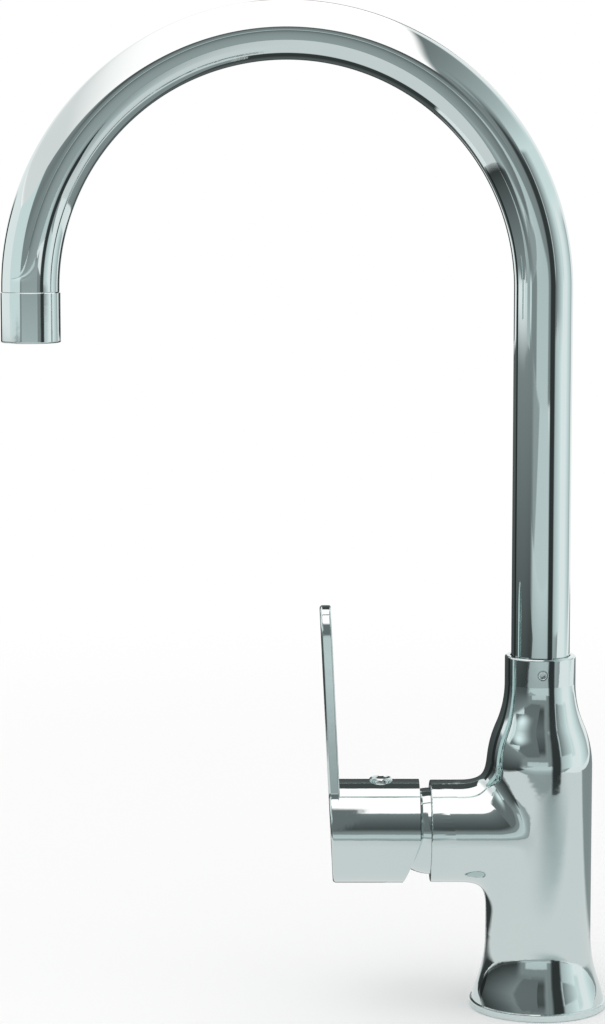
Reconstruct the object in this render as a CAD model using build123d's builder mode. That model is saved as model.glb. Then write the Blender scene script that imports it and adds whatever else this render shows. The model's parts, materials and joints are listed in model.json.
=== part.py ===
from build123d import *
import math
import os

# Single-lever mixer tap for a sink, with a swan-neck spout that turns in the body's collar.
# Millimetres and degrees, +Z up. The origin is the centre of the foot's underside.
# The arm with the lever and the spout both point along -X in the stored pose.

# Clearances
running_gap = 0.06  # a shaft in its hole, on the radius
seat_gap = 0.08  # pieces that slip together and then stay put
slide_gap = 0.2  # flat faces that slide past one another
swing_gap = 0.3  # faces that swing past one another

# Spout tube
tube_diameter = 24.0
tube_wall = 1.0
spout_reach = 207.6  # tube axis to outlet axis
spout_rise = 149.6  # collar top to the centre of the bend
outlet_drop = 1.1  # straight end of the tube below the centre of the bend
tube_insertion = 2.0  # tube below the collar's top

# Spout tail and its rings
tail_gap = 0.35  # tail in the body's socket
tail_bore = 15.0
tail_spigot_length = 10.0  # brazed into the tube
tail_land = 1.8  # between two grooves of the tail
glide_ring_width = 4.0
glide_ring_thickness = 1.1
o_ring_section = 2.6
o_ring_groove_width = 3.2
tail_end_space = 2.0  # below the tail in the socket

# Collar and shoulder of the body
collar_wall = 2.15
collar_height = 11.5  # straight part above the shoulder
collar_rounding = 0.8
shoulder_height = 34.5
shoulder_rise = 6.5  # shoulder's lower end above the arm's top

# Collar screw
collar_screw_diameter = 4.0
collar_screw_drop = 6.4  # below the collar's top
collar_screw_key = 2.0
collar_screw_recess = 0.35  # below the collar's surface
screw_groove_depth = 1.4
screw_countersink = 0.25

# Cartridge, radially
rotor_neck_diameter = 20.8
housing_neck_wall = 1.9
housing_ledge = 4.95  # ring the nut presses on
housing_wall = 2.1
rotor_flange_width = 3.1
disc_inset = 1.0  # fixed disc inside the housing's bore
chamber_gap = 0.15  # cartridge in the arm

# Cartridge, along the arm and measured from the lever's pivot
nut_recess = 0.6  # nut's face behind the arm's mouth
nut_thread_length = 8.9
housing_roof = 2.0
rotor_flange_thickness = 2.5
carrier_thickness = 5.4
disc_thickness = 4.0
disc_gap = 0.05  # between the polished faces of the discs
disc_seat_depth = 3.0
base_floor = 4.0
rotor_rise = 2.6
neck_rise = 3.0
nut_rise = 3.8

# Ports of the cartridge, from its axis
inlet_port_diameter = 5.4
inlet_port_up = 1.5
inlet_port_side = 7.0
outlet_port_diameter = 6.4
outlet_port_down = 6.0
port_seal_width = 1.7
port_seal_height = 1.2
locating_pin_diameter = 2.8
locating_pin_length = 2.0
locating_pin_down = 8.4
locating_pin_side = 10.2

# Mixing pocket of the moving disc
pocket_length = 10.0
pocket_width = 14.0
pocket_depth = 2.4
pocket_down = 3.2  # below the disc's own centre

# Lever motion
tilt_limit = 25.0  # lever from shut to fully open

# Lever stem, pin and carrier key
stem_square = 8.0
stem_block_depth = 4.5  # square part behind the pivot
stem_arm_diameter = 3.8
stem_ball_diameter = 4.8
ball_depth = 1.8  # ball's centre below the carrier's face
ball_gap = 0.4  # play of the ball in the carrier's pocket
pin_diameter = 3.0
pin_inset = 0.4  # pin's ends inside the rotor's neck
key_width = 14.6  # carrier's upper block between the rotor's ribs
key_height = 2.2
rib_thickness = 1.8
rib_length = 17.0

# Ring nut, dome and lever cap
nut_bore_gap = 0.2
nut_neck_wall = 3.3
nut_thread_step = 1.5
nut_slot_width = 4.0
nut_slot_depth = 2.6
nut_slot_count = 6
dome_gap = 0.25  # over the nut's neck
dome_wall = 1.2
dome_opening_diameter = 24.0
cap_gap = 0.55  # lever cap over the dome
cap_wall = 3.0
cap_rear = 4.5  # cap's rear end in front of the arm's mouth
cap_front = 41.0  # cap's front face on the axis
cap_front_wall = 4.5
cap_cut_angle = 18.4  # slanted lower half of the cap's rear end
lever_lean = 2.8  # front face leans outwards at the top

# Lever blade, boss and screw
blade_height = 93.9  # top above the arm's axis
blade_thickness = 4.6
blade_end_diameter = 23.6
blade_root_diameter = 27.4
blade_corner = 4.0  # rounding between blade and cap, seen from the front
blade_front_rounding = 1.2
blade_back_rounding = 0.8
boss_diameter = 17.0
boss_rib_width = 9.0
boss_start = 14.0
stem_end = 33.5
lever_screw_diameter = 5.0
lever_screw_length = 6.0
lever_screw_key = 2.5
lever_screw_key_depth = 2.5
lever_screw_out = 20.3  # screw and plug in front of the arm's mouth

# Lever plug
plug_head_diameter = 9.9
plug_head_height = 1.9
plug_stem_diameter = 8.0
plug_stem_length = 4.4
plug_seat_depth = 0.7  # flat seat below the cap's top
plug_room = 1.2  # below the plug's stem
plug_rim_width = 1.5
plug_rounding = 0.5
plug_dish = 0.4

# Arm and column
arm_reach = 45.0  # column axis to the arm's mouth, where the lever pivots
arm_axis_height = 73.5
arm_wall = 2.05  # around the nut's thread
arm_blend_radius = 8.0
mouth_rounding = 0.6
column_margin = 0.7  # column radius beyond the arm's radius

# Flared foot
foot_spread = 6.5  # foot radius beyond the column's radius
rim_height = 3.3
rim_rounding = 0.6
rim_chamfer = 0.4
rim_inset = 0.8  # flare inside the rim
flare_height = 31.0
flare_radius = 60.0
flare_angle = 20.0

# Underside
recess_diameter = 34.0
recess_roof = 16.0  # metal between the recess and the cartridge chamber
stud_hole_diameter = 6.8
stud_hole_depth = 13.0
stud_offset = 11.0
hose_thread_diameter = 9.0
hose_thread_depth = 11.0
inlet_offset = 6.0  # inlets in front of the column's axis
outlet_offset = 6.0  # outlet channel behind the column's axis
base_seal_inner_diameter = 42.0
base_seal_width = 3.4
base_seal_height = 2.2

# Aerator
shell_length = 20.4
shell_step = 0.3  # sleeve radius beyond the tube's radius
shell_rounding = 0.8
joint_chamfer = 0.25
nose_bore = 18.4
nose_spigot_length = 4.0
nose_thread_length = 9.0
washer_thickness = 2.0
washer_width = 2.1
core_step = 0.7  # sleeve's bore below its thread
core_wall = 1.6
core_plate = 2.0
core_jet_diameter = 1.4
core_jet_circle = 10.0
core_jet_count = 8
core_slot_width = 3.0
core_slot_height = 2.4
core_slot_count = 8
lip_width = 1.0
lip_height = 1.2
screen_thickness = 1.0
screen_cell = 1.9  # across the flats of one cell
screen_web = 0.4  # between two cells
screen_rows = 7

# Sizes that follow from those above

tube_radius = tube_diameter / 2
tube_bore_radius = tube_radius - tube_wall
bend_radius = spout_reach / 2

socket_radius = tube_radius + tail_gap
collar_radius = socket_radius + collar_wall

rotor_neck_radius = rotor_neck_diameter / 2
neck_bore_radius = rotor_neck_radius + running_gap
housing_neck_radius = neck_bore_radius + housing_neck_wall
housing_radius = housing_neck_radius + housing_ledge
housing_bore_radius = housing_radius - housing_wall
rotor_flange_radius = rotor_neck_radius + rotor_flange_width
fixed_disc_radius = housing_bore_radius - disc_inset
chamber_radius = housing_radius + chamber_gap

clamp_depth = nut_recess + nut_thread_length
ceiling_depth = clamp_depth + housing_roof
flange_top_depth = ceiling_depth + swing_gap
flange_depth = flange_top_depth + rotor_flange_thickness
carrier_depth = flange_depth + swing_gap
moving_disc_depth = carrier_depth + carrier_thickness
moving_disc_end = moving_disc_depth + disc_thickness
fixed_disc_depth = moving_disc_end + disc_gap
fixed_disc_end = fixed_disc_depth + disc_thickness
base_rim_depth = fixed_disc_end - disc_seat_depth
chamber_depth = fixed_disc_end + base_floor

tilt = math.radians(tilt_limit)
ball_arm = carrier_depth + ball_depth
disc_travel = ball_arm * math.sin(tilt)
disc_rest = -disc_travel / 2  # disc's centre below the cartridge's axis when shut
moving_disc_radius = housing_bore_radius - disc_travel / 2 - swing_gap

nut_bore_radius = housing_neck_radius + nut_bore_gap
nut_neck_radius = nut_bore_radius + nut_neck_wall
thread_bore_radius = chamber_radius + nut_thread_step
nut_thread_radius = thread_bore_radius - seat_gap
dome_bore_radius = math.hypot(nut_neck_radius, nut_rise) + dome_gap
dome_radius = dome_bore_radius + dome_wall
dome_opening_radius = dome_opening_diameter / 2
cap_bore_radius = dome_radius + cap_gap
cap_radius = cap_bore_radius + cap_wall
cavity_depth = cap_front - cap_front_wall

arm_radius = thread_bore_radius + arm_wall
column_radius = arm_radius + column_margin
foot_radius = column_radius + foot_spread
shoulder_bottom = arm_axis_height + arm_radius + shoulder_rise
shoulder_top = shoulder_bottom + shoulder_height
collar_top = shoulder_top + collar_height
shoulder_angle = 2 * math.atan2(column_radius - collar_radius, shoulder_height)
shoulder_radius = shoulder_height / 2 / math.sin(shoulder_angle)
bend_height = collar_top + spout_rise
outlet_height = bend_height - outlet_drop
tube_end = collar_top - tube_insertion
recess_depth = arm_axis_height - chamber_radius - recess_roof
chamber_floor_reach = arm_reach - chamber_depth

collar_screw_radius = collar_screw_diameter / 2
collar_screw_height = collar_top - collar_screw_drop
screw_groove_radius = tube_radius - screw_groove_depth
screw_groove_half = collar_screw_radius + swing_gap
collar_screw_tip = screw_groove_radius + swing_gap
collar_screw_face = collar_radius - collar_screw_recess

upper_ring_top = collar_screw_height - screw_groove_half - tail_land
upper_ring_bottom = upper_ring_top - glide_ring_width
upper_o_ring_top = upper_ring_bottom - tail_land
lower_o_ring_top = upper_o_ring_top - o_ring_groove_width - tail_land
lower_ring_top = lower_o_ring_top - o_ring_groove_width - tail_land
lower_ring_bottom = lower_ring_top - glide_ring_width
tail_bottom = lower_ring_bottom - tail_land
socket_floor = tail_bottom - tail_end_space
glide_ring_radius = socket_radius - running_gap
glide_groove_radius = glide_ring_radius - glide_ring_thickness - seat_gap
o_ring_radius = socket_radius - running_gap - o_ring_section / 2
o_groove_radius = o_ring_radius - o_ring_section / 2 - seat_gap

inlet_port_radius = inlet_port_diameter / 2
outlet_port_radius = outlet_port_diameter / 2
locating_pin_radius = locating_pin_diameter / 2
base_seal_inner = base_seal_inner_diameter / 2
base_seal_outer = base_seal_inner + base_seal_width

stem_half = stem_square / 2
stem_arm_radius = stem_arm_diameter / 2
ball_radius = stem_ball_diameter / 2
ball_pocket_depth = ball_depth + ball_radius + swing_gap
pin_radius = pin_diameter / 2
rib_side = (key_width + rib_thickness) / 2 + slide_gap
plug_seat = cap_radius - plug_seat_depth
plug_stem_radius = plug_stem_diameter / 2
plug_head_radius = plug_head_diameter / 2
plug_hole_floor = plug_seat - plug_stem_length - plug_room
lever_screw_radius = lever_screw_diameter / 2

shell_radius = tube_radius + shell_step
shell_bottom = outlet_height - shell_length
nose_radius = tube_bore_radius - seat_gap
nose_bottom = outlet_height - nose_thread_length
shell_thread_radius = nose_radius + seat_gap
washer_bottom = nose_bottom - washer_thickness
shell_bore_radius = shell_thread_radius - core_step
core_radius = shell_bore_radius - seat_gap
screen_bottom = shell_bottom + lip_height
core_bottom = screen_bottom + screen_thickness
lip_radius = shell_bore_radius - lip_width

# Planes: local X is up and local Z runs outwards along the arm in cartridge_plane.
# In cartridge_section local X is the radius upwards and local Y runs outwards along the arm.
pivot = Vector(-arm_reach, 0, arm_axis_height)
cartridge_plane = Plane(origin=pivot, x_dir=(0, 0, 1), z_dir=(-1, 0, 0))
cartridge_section = Plane(origin=pivot, x_dir=(0, 0, 1), z_dir=(0, -1, 0))
cartridge_axis = Axis(pivot, (-1, 0, 0))
chamber_floor = cartridge_plane.offset(-chamber_depth)
recess_ceiling = Plane.XY.offset(recess_depth)
inlet_spots = [(inlet_port_up, -inlet_port_side), (inlet_port_up, inlet_port_side)]
hose_spots = [(-inlet_offset, -inlet_port_side), (-inlet_offset, inlet_port_side)]
outlet_spot = (-outlet_port_down, 0)
locating_spots = [(-locating_pin_down, -locating_pin_side), (-locating_pin_down, locating_pin_side)]
screw_plane = Plane(origin=(0, 0, collar_screw_height), x_dir=(1, 0, 0), z_dir=(0, -1, 0))
lean = math.radians(lever_lean)
cut = math.radians(cap_cut_angle)
front_normal = Vector(-math.cos(lean), 0, -math.sin(lean))
front_plane = Plane(origin=cartridge_plane.offset(cap_front).origin, x_dir=(0, 1, 0), z_dir=front_normal)
rear_plane = cartridge_plane.offset(cap_rear)
rear_cut_plane = Plane(origin=rear_plane.origin, x_dir=(0, 1, 0), z_dir=(-math.cos(cut), 0, math.sin(cut)))
plug_plane = Plane(origin=cartridge_plane.offset(lever_screw_out).origin, x_dir=(1, 0, 0), z_dir=(0, 0, 1))
outlet_axis = Axis((-spout_reach, 0, 0), (0, 0, 1))
outlet_section = Plane(origin=(-spout_reach, 0, 0), x_dir=(1, 0, 0), z_dir=(0, -1, 0))

# Body casting: turned column with foot, shoulder and collar, blended into the arm
with BuildPart() as mixer_body:
    with BuildSketch(Plane.XZ):
        with BuildLine():
            Line((0, 0), (foot_radius - rim_chamfer, 0))
            Line((foot_radius - rim_chamfer, 0), (foot_radius, rim_chamfer))
            rim = Line((foot_radius, rim_chamfer), (foot_radius, rim_height - rim_rounding))
            rim_edge = TangentArc(rim @ 1, (foot_radius - rim_rounding, rim_height), tangent=(0, 1))
            ledge = Line(rim_edge @ 1, (foot_radius - rim_inset, rim_height))
            flare = JernArc((column_radius, flare_height), (0, -1), flare_radius, flare_angle)
            TangentArc(flare @ 1, ledge @ 1, tangent=flare % 1)
            column = Line((column_radius, flare_height), (column_radius, shoulder_bottom))
            lower = JernArc(column @ 1, (0, 1), shoulder_radius, math.degrees(shoulder_angle))
            upper = JernArc(lower @ 1, lower % 1, shoulder_radius, -math.degrees(shoulder_angle))
            collar = Line(upper @ 1, (collar_radius, collar_top - collar_rounding))
            collar_end = (collar_radius - collar_rounding, collar_top)
            collar_edge = TangentArc(collar @ 1, collar_end, tangent=(0, 1))
            Line(collar_edge @ 1, (0, collar_top))
            Line((0, collar_top), (0, 0))
        make_face()
    revolve(axis=Axis.Z)
    with BuildSketch(cartridge_plane):
        Circle(arm_radius)
    extrude(amount=-arm_reach)
    fillet(mixer_body.edges().filter_by(GeomType.BSPLINE), radius=arm_blend_radius)
    fillet(mixer_body.faces().sort_by(Axis.X)[0].edges(), radius=mouth_rounding)
    # underside: recess, seal groove, stud hole and the two hose inlets
    with BuildSketch(Plane.XY):
        Circle(recess_diameter / 2)
    extrude(amount=recess_depth, mode=Mode.SUBTRACT)
    with BuildSketch(Plane.XY):
        Circle(base_seal_outer + seat_gap)
        Circle(base_seal_inner - seat_gap, mode=Mode.SUBTRACT)
    extrude(amount=base_seal_height, mode=Mode.SUBTRACT)
    with BuildSketch(recess_ceiling):
        with Locations((stud_offset, 0)):
            Circle(stud_hole_diameter / 2)
    extrude(amount=stud_hole_depth, mode=Mode.SUBTRACT)
    with BuildSketch(recess_ceiling):
        with Locations(hose_spots):
            Circle(hose_thread_diameter / 2)
    extrude(amount=hose_thread_depth, mode=Mode.SUBTRACT)
    with BuildSketch(recess_ceiling):
        with Locations(hose_spots):
            Circle(inlet_port_radius)
    extrude(amount=arm_axis_height + inlet_port_up - recess_depth, mode=Mode.SUBTRACT)
    # cartridge chamber with the nut's thread, its ports and the locating holes
    with BuildSketch(cartridge_plane):
        Circle(thread_bore_radius)
    extrude(amount=-clamp_depth, mode=Mode.SUBTRACT)
    with BuildSketch(cartridge_plane):
        Circle(chamber_radius)
    extrude(amount=-chamber_depth, mode=Mode.SUBTRACT)
    with BuildSketch(chamber_floor):
        with Locations(inlet_spots):
            Circle(inlet_port_radius)
    extrude(amount=inlet_offset - chamber_floor_reach, mode=Mode.SUBTRACT)
    with BuildSketch(chamber_floor):
        with Locations(outlet_spot):
            Circle(outlet_port_radius)
    extrude(amount=-chamber_floor_reach - outlet_offset, mode=Mode.SUBTRACT)
    with BuildSketch(chamber_floor):
        with Locations(locating_spots):
            Circle(locating_pin_radius + seat_gap)
    extrude(amount=-locating_pin_length - slide_gap, mode=Mode.SUBTRACT)
    # outlet channel up to the spout's socket, and the collar's screw hole
    with BuildSketch(Plane.XY.offset(arm_axis_height - outlet_port_down)):
        with Locations((outlet_offset, 0)):
            Circle(outlet_port_radius)
    extrude(amount=socket_floor - arm_axis_height + outlet_port_down, mode=Mode.SUBTRACT)
    with BuildSketch(Plane.XY.offset(socket_floor)):
        Circle(socket_radius)
    extrude(amount=collar_top - socket_floor, mode=Mode.SUBTRACT)
    with BuildSketch(screw_plane):
        Circle(collar_screw_radius + seat_gap)
    extrude(amount=collar_radius, mode=Mode.SUBTRACT)
    with BuildSketch(screw_plane.offset(collar_radius - screw_countersink)):
        Circle(collar_screw_radius + seat_gap + screw_countersink)
    extrude(amount=screw_countersink, mode=Mode.SUBTRACT)

# Rubber ring between foot and deck, pressed flush
with BuildPart() as base_seal:
    with BuildSketch(Plane.XY):
        Circle(base_seal_outer)
        Circle(base_seal_inner, mode=Mode.SUBTRACT)
    extrude(amount=base_seal_height)

# Grub screw whose tip runs in the tail's groove
with BuildPart() as collar_screw:
    with BuildSketch(screw_plane.offset(collar_screw_tip)):
        Circle(collar_screw_radius)
    extrude(amount=collar_screw_face - collar_screw_tip)
    chamfer(collar_screw.faces().sort_by(Axis.Y)[-1].edges(), length=collar_screw_key / 4)
    with BuildSketch(screw_plane.offset(collar_screw_face)):
        RegularPolygon(radius=collar_screw_key / 2, side_count=6, major_radius=False)
    extrude(amount=-collar_screw_key, mode=Mode.SUBTRACT)

# Cartridge base with a seat for the fixed disc, three sealed ports and two locating pins
with BuildPart() as cartridge_base:
    with BuildSketch(chamber_floor):
        Circle(housing_radius)
    extrude(amount=chamber_depth - base_rim_depth)
    with BuildSketch(cartridge_plane.offset(-fixed_disc_end)):
        Circle(fixed_disc_radius + seat_gap)
    extrude(amount=disc_seat_depth, mode=Mode.SUBTRACT)
    with BuildSketch(chamber_floor):
        with Locations(inlet_spots):
            Circle(inlet_port_radius)
        with Locations(outlet_spot):
            Circle(outlet_port_radius)
    extrude(amount=base_floor, mode=Mode.SUBTRACT)
    with BuildSketch(chamber_floor):
        with Locations(inlet_spots):
            Circle(inlet_port_radius + port_seal_width + seat_gap)
        with Locations(outlet_spot):
            Circle(outlet_port_radius + port_seal_width + seat_gap)
    extrude(amount=port_seal_height, mode=Mode.SUBTRACT)
    with BuildSketch(chamber_floor):
        with Locations(locating_spots):
            Circle(locating_pin_radius)
    extrude(amount=-locating_pin_length)

# Three ring seals between the cartridge base and the chamber's floor
with BuildPart() as port_seals:
    with BuildSketch(chamber_floor):
        with Locations(inlet_spots):
            Circle(inlet_port_radius + port_seal_width)
            Circle(inlet_port_radius, mode=Mode.SUBTRACT)
        with Locations(outlet_spot):
            Circle(outlet_port_radius + port_seal_width)
            Circle(outlet_port_radius, mode=Mode.SUBTRACT)
    extrude(amount=port_seal_height)

# Fixed ceramic disc
with BuildPart() as fixed_disc:
    with BuildSketch(cartridge_plane.offset(-fixed_disc_end)):
        Circle(fixed_disc_radius)
        with Locations(inlet_spots):
            Circle(inlet_port_radius, mode=Mode.SUBTRACT)
        with Locations(outlet_spot):
            Circle(outlet_port_radius, mode=Mode.SUBTRACT)
    extrude(amount=disc_thickness)

# Cartridge housing: bell with a neck for the rotor
with BuildPart() as cartridge_housing:
    with BuildSketch(cartridge_section):
        with BuildLine():
            Polyline(
                (housing_bore_radius, -base_rim_depth),
                (housing_radius, -base_rim_depth),
                (housing_radius, -clamp_depth),
                (housing_neck_radius, -clamp_depth),
                (housing_neck_radius, neck_rise),
                (neck_bore_radius, neck_rise),
                (neck_bore_radius, -ceiling_depth),
                (housing_bore_radius, -ceiling_depth),
                close=True,
            )
        make_face()
    revolve(axis=cartridge_axis)

# Ring nut that clamps the housing, with slots for a pin spanner
with BuildPart() as cartridge_nut:
    with BuildSketch(cartridge_section):
        with BuildLine():
            Polyline(
                (nut_bore_radius, -clamp_depth),
                (nut_thread_radius, -clamp_depth),
                (nut_thread_radius, -nut_recess),
                (nut_neck_radius, -nut_recess),
                (nut_neck_radius, nut_rise),
                (nut_bore_radius, nut_rise),
                close=True,
            )
        make_face()
    revolve(axis=cartridge_axis)
    with BuildSketch(cartridge_plane.offset(nut_rise)):
        with PolarLocations((nut_bore_radius + nut_neck_radius) / 2, nut_slot_count):
            Rectangle(2 * nut_neck_wall, nut_slot_width)
    extrude(amount=-nut_slot_depth, mode=Mode.SUBTRACT)

# Dome that closes the arm's mouth and follows the swing of the cap
with BuildPart() as dome_cover:
    with BuildSketch(cartridge_section):
        with BuildLine():
            outer_rise = math.degrees(math.acos(dome_opening_radius / dome_radius))
            inner_rise = math.degrees(math.acos(dome_opening_radius / dome_bore_radius))
            outer = CenterArc((0, 0), dome_radius, 0, outer_rise)
            inner = CenterArc((0, 0), dome_bore_radius, 0, inner_rise)
            Line(outer @ 1, inner @ 1)
            Polyline(
                outer @ 0,
                (dome_radius, -nut_recess),
                (dome_bore_radius, -nut_recess),
                inner @ 0,
            )
        make_face()
    revolve(axis=cartridge_axis)

# Rotor that turns in the housing's neck; its slot lets the stem tilt
with BuildPart() as cartridge_rotor:
    with BuildSketch(cartridge_section):
        with BuildLine():
            Polyline(
                (0, -flange_depth),
                (rotor_flange_radius, -flange_depth),
                (rotor_flange_radius, -flange_top_depth),
                (rotor_neck_radius, -flange_top_depth),
                (rotor_neck_radius, rotor_rise),
                (0, rotor_rise),
                close=True,
            )
        make_face()
    revolve(axis=cartridge_axis)
    with BuildSketch(cartridge_plane.offset(-flange_depth)):
        with Locations((0, -rib_side), (0, rib_side)):
            Rectangle(rib_length, rib_thickness)
    extrude(amount=-key_height + slide_gap)
    with BuildSketch(cartridge_section):
        with BuildLine():
            slot_top = rotor_rise + swing_gap
            slot_bottom = -flange_depth - swing_gap
            step = -math.hypot(stem_half, stem_block_depth) - swing_gap
            tilted_half = stem_half / math.cos(tilt) + swing_gap
            corner_side = stem_half * math.cos(tilt) + stem_block_depth * math.sin(tilt) + swing_gap
            corner_level = stem_half * math.sin(tilt) - stem_block_depth * math.cos(tilt)
            ball_side = disc_travel + ball_radius + swing_gap
            Polyline(
                (-tilted_half - slot_top * math.tan(tilt), slot_top),
                (-tilted_half, 0),
                (-tilted_half, step),
                (-stem_arm_radius - swing_gap, step),
                (-stem_arm_radius - swing_gap, slot_bottom),
                (ball_side, slot_bottom),
                (corner_side, corner_level),
                (tilted_half, slot_top),
                close=True,
            )
        make_face()
    extrude(amount=stem_half + slide_gap, both=True, mode=Mode.SUBTRACT)
    with BuildSketch(cartridge_section):
        Circle(pin_radius + seat_gap)
    extrude(amount=rotor_neck_radius, both=True, mode=Mode.SUBTRACT)

# Hinge pin of the stem, held in the rotor
with BuildPart() as stem_pin:
    with BuildSketch(cartridge_section):
        Circle(pin_radius)
    extrude(amount=rotor_neck_radius - pin_inset, both=True)

# Carrier: keyed between the rotor's ribs and moved by the stem's ball
with BuildPart() as disc_carrier:
    with BuildSketch(cartridge_plane.offset(-moving_disc_depth)):
        with Locations((disc_rest, 0)):
            Circle(moving_disc_radius)
    extrude(amount=carrier_thickness)
    with BuildSketch(cartridge_plane.offset(-carrier_depth)):
        with Locations((disc_rest, 0)):
            Circle(moving_disc_radius + slide_gap)
        Rectangle(2 * housing_radius, key_width, mode=Mode.SUBTRACT)
    extrude(amount=-key_height, mode=Mode.SUBTRACT)
    with BuildSketch(cartridge_plane.offset(-carrier_depth)):
        Circle(ball_radius + ball_gap)
    extrude(amount=-ball_pocket_depth, mode=Mode.SUBTRACT)

# Moving ceramic disc with its mixing pocket
with BuildPart() as moving_disc:
    with BuildSketch(cartridge_plane.offset(-moving_disc_end)):
        with Locations((disc_rest, 0)):
            Circle(moving_disc_radius)
    extrude(amount=disc_thickness)
    with BuildSketch(cartridge_plane.offset(-moving_disc_end)):
        with Locations((disc_rest - pocket_down, 0)):
            Ellipse(pocket_length / 2, pocket_width / 2)
    extrude(amount=pocket_depth, mode=Mode.SUBTRACT)

# Lever stem: square outer end, eye for the pin, round arm with a ball
with BuildPart() as lever_stem:
    with BuildSketch(cartridge_plane.offset(-stem_block_depth)):
        Rectangle(stem_square, stem_square)
    extrude(amount=stem_block_depth + stem_end)
    with BuildSketch(cartridge_plane.offset(-stem_block_depth)):
        Circle(stem_arm_radius)
    extrude(amount=stem_block_depth - ball_arm)
    with Locations(cartridge_plane.offset(-ball_arm).origin):
        Sphere(ball_radius)
    with BuildSketch(cartridge_section):
        Circle(pin_radius + running_gap)
    extrude(amount=stem_square, both=True, mode=Mode.SUBTRACT)

# Lever handle: round cap with an upright blade in one casting
with BuildPart() as lever_handle:
    with BuildSketch(rear_plane) as handle_outline:
        with Locations((blade_height - blade_end_diameter / 2, 0)):
            Circle(blade_end_diameter / 2)
        Circle(blade_root_diameter / 2)
        make_hull()
        Circle(cap_radius)
        corners = handle_outline.vertices().filter_by(lambda v: v.X > 0 and abs(v.Y) > stem_half)
        corners = corners.filter_by(lambda v: abs(math.hypot(v.X, v.Y) - cap_radius) < seat_gap)
        fillet(corners, radius=blade_corner)
    extrude(amount=cap_front)
    split(bisect_by=front_plane, keep=Keep.BOTTOM)
    split(bisect_by=front_plane.offset(-blade_thickness), keep=Keep.TOP)
    fillet(lever_handle.faces().sort_by(Axis(pivot, front_normal))[-1].edges(), radius=blade_front_rounding)
    fillet(lever_handle.faces().sort_by(Axis(pivot, front_normal))[0].edges(), radius=blade_back_rounding)
    with BuildSketch(rear_plane):
        Circle(cap_radius)
    extrude(amount=cap_front - cap_rear - blade_thickness / 2)
    split(bisect_by=rear_cut_plane, keep=Keep.TOP)
    # hollow with the boss for the stem and a rib for the screw
    with BuildSketch(cartridge_plane):
        Circle(cap_bore_radius)
    extrude(amount=cavity_depth, mode=Mode.SUBTRACT)
    with BuildSketch(cartridge_plane.offset(boss_start)):
        Circle(boss_diameter / 2)
        with Locations((cap_bore_radius / 2, 0)):
            Rectangle(cap_bore_radius + cap_gap, boss_rib_width)
    extrude(amount=cavity_depth - boss_start)
    with Locations(pivot):
        Sphere(dome_radius + swing_gap, mode=Mode.SUBTRACT)
    with BuildSketch(cartridge_plane):
        Rectangle(stem_square + 2 * seat_gap, stem_square + 2 * seat_gap)
    extrude(amount=stem_end, mode=Mode.SUBTRACT)
    with BuildSketch(plug_plane):
        Circle(lever_screw_radius + seat_gap)
    extrude(amount=plug_hole_floor, mode=Mode.SUBTRACT)
    with BuildSketch(plug_plane.offset(plug_hole_floor)):
        Circle(plug_stem_radius + seat_gap)
    extrude(amount=plug_seat - plug_hole_floor, mode=Mode.SUBTRACT)
    with BuildSketch(plug_plane.offset(plug_seat)):
        Circle(plug_head_radius + seat_gap)
    extrude(amount=plug_head_height, mode=Mode.SUBTRACT)

# Grub screw that clamps the handle on the stem
with BuildPart() as lever_screw:
    with BuildSketch(plug_plane.offset(stem_half)):
        Circle(lever_screw_radius)
    extrude(amount=lever_screw_length)
    with BuildSketch(plug_plane.offset(stem_half + lever_screw_length)):
        RegularPolygon(radius=lever_screw_key / 2, side_count=6, major_radius=False)
    extrude(amount=-lever_screw_key_depth, mode=Mode.SUBTRACT)

# Plug over the lever's screw, with a dished top
with BuildPart() as lever_plug:
    with BuildSketch(Plane(origin=plug_plane.origin, x_dir=(1, 0, 0), z_dir=(0, -1, 0))):
        with BuildLine():
            head_top = plug_seat + plug_head_height
            dish_radius = plug_head_radius - plug_rim_width
            bottom = Polyline(
                (0, plug_seat - plug_stem_length),
                (plug_stem_radius, plug_seat - plug_stem_length),
                (plug_stem_radius, plug_seat),
                (plug_head_radius, plug_seat),
                (plug_head_radius, head_top - plug_rounding),
            )
            edge = TangentArc(bottom @ 1, (plug_head_radius - plug_rounding, head_top), tangent=(0, 1))
            top = Line(edge @ 1, (dish_radius, head_top))
            dish = TangentArc((0, head_top - plug_dish), top @ 1, tangent=(1, 0))
            Line(dish @ 0, bottom @ 0)
        make_face()
    revolve(axis=Axis(plug_plane.origin, (0, 0, 1)))

# Bent spout tube
with BuildPart() as spout_tube:
    with BuildLine(Plane.XZ):
        Line((0, tube_end), (0, bend_height))
        CenterArc((-bend_radius, bend_height), bend_radius, 0, 180)
        Line((-spout_reach, bend_height), (-spout_reach, outlet_height))
    with BuildSketch(Plane.XY.offset(tube_end)):
        Circle(tube_radius)
        Circle(tube_bore_radius, mode=Mode.SUBTRACT)
    sweep()
    outlet_face = spout_tube.faces().filter_by(Plane.XY).sort_by(Axis.X)[0]
    chamfer(outlet_face.edges().sort_by(SortBy.LENGTH)[-1], length=joint_chamfer)

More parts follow.
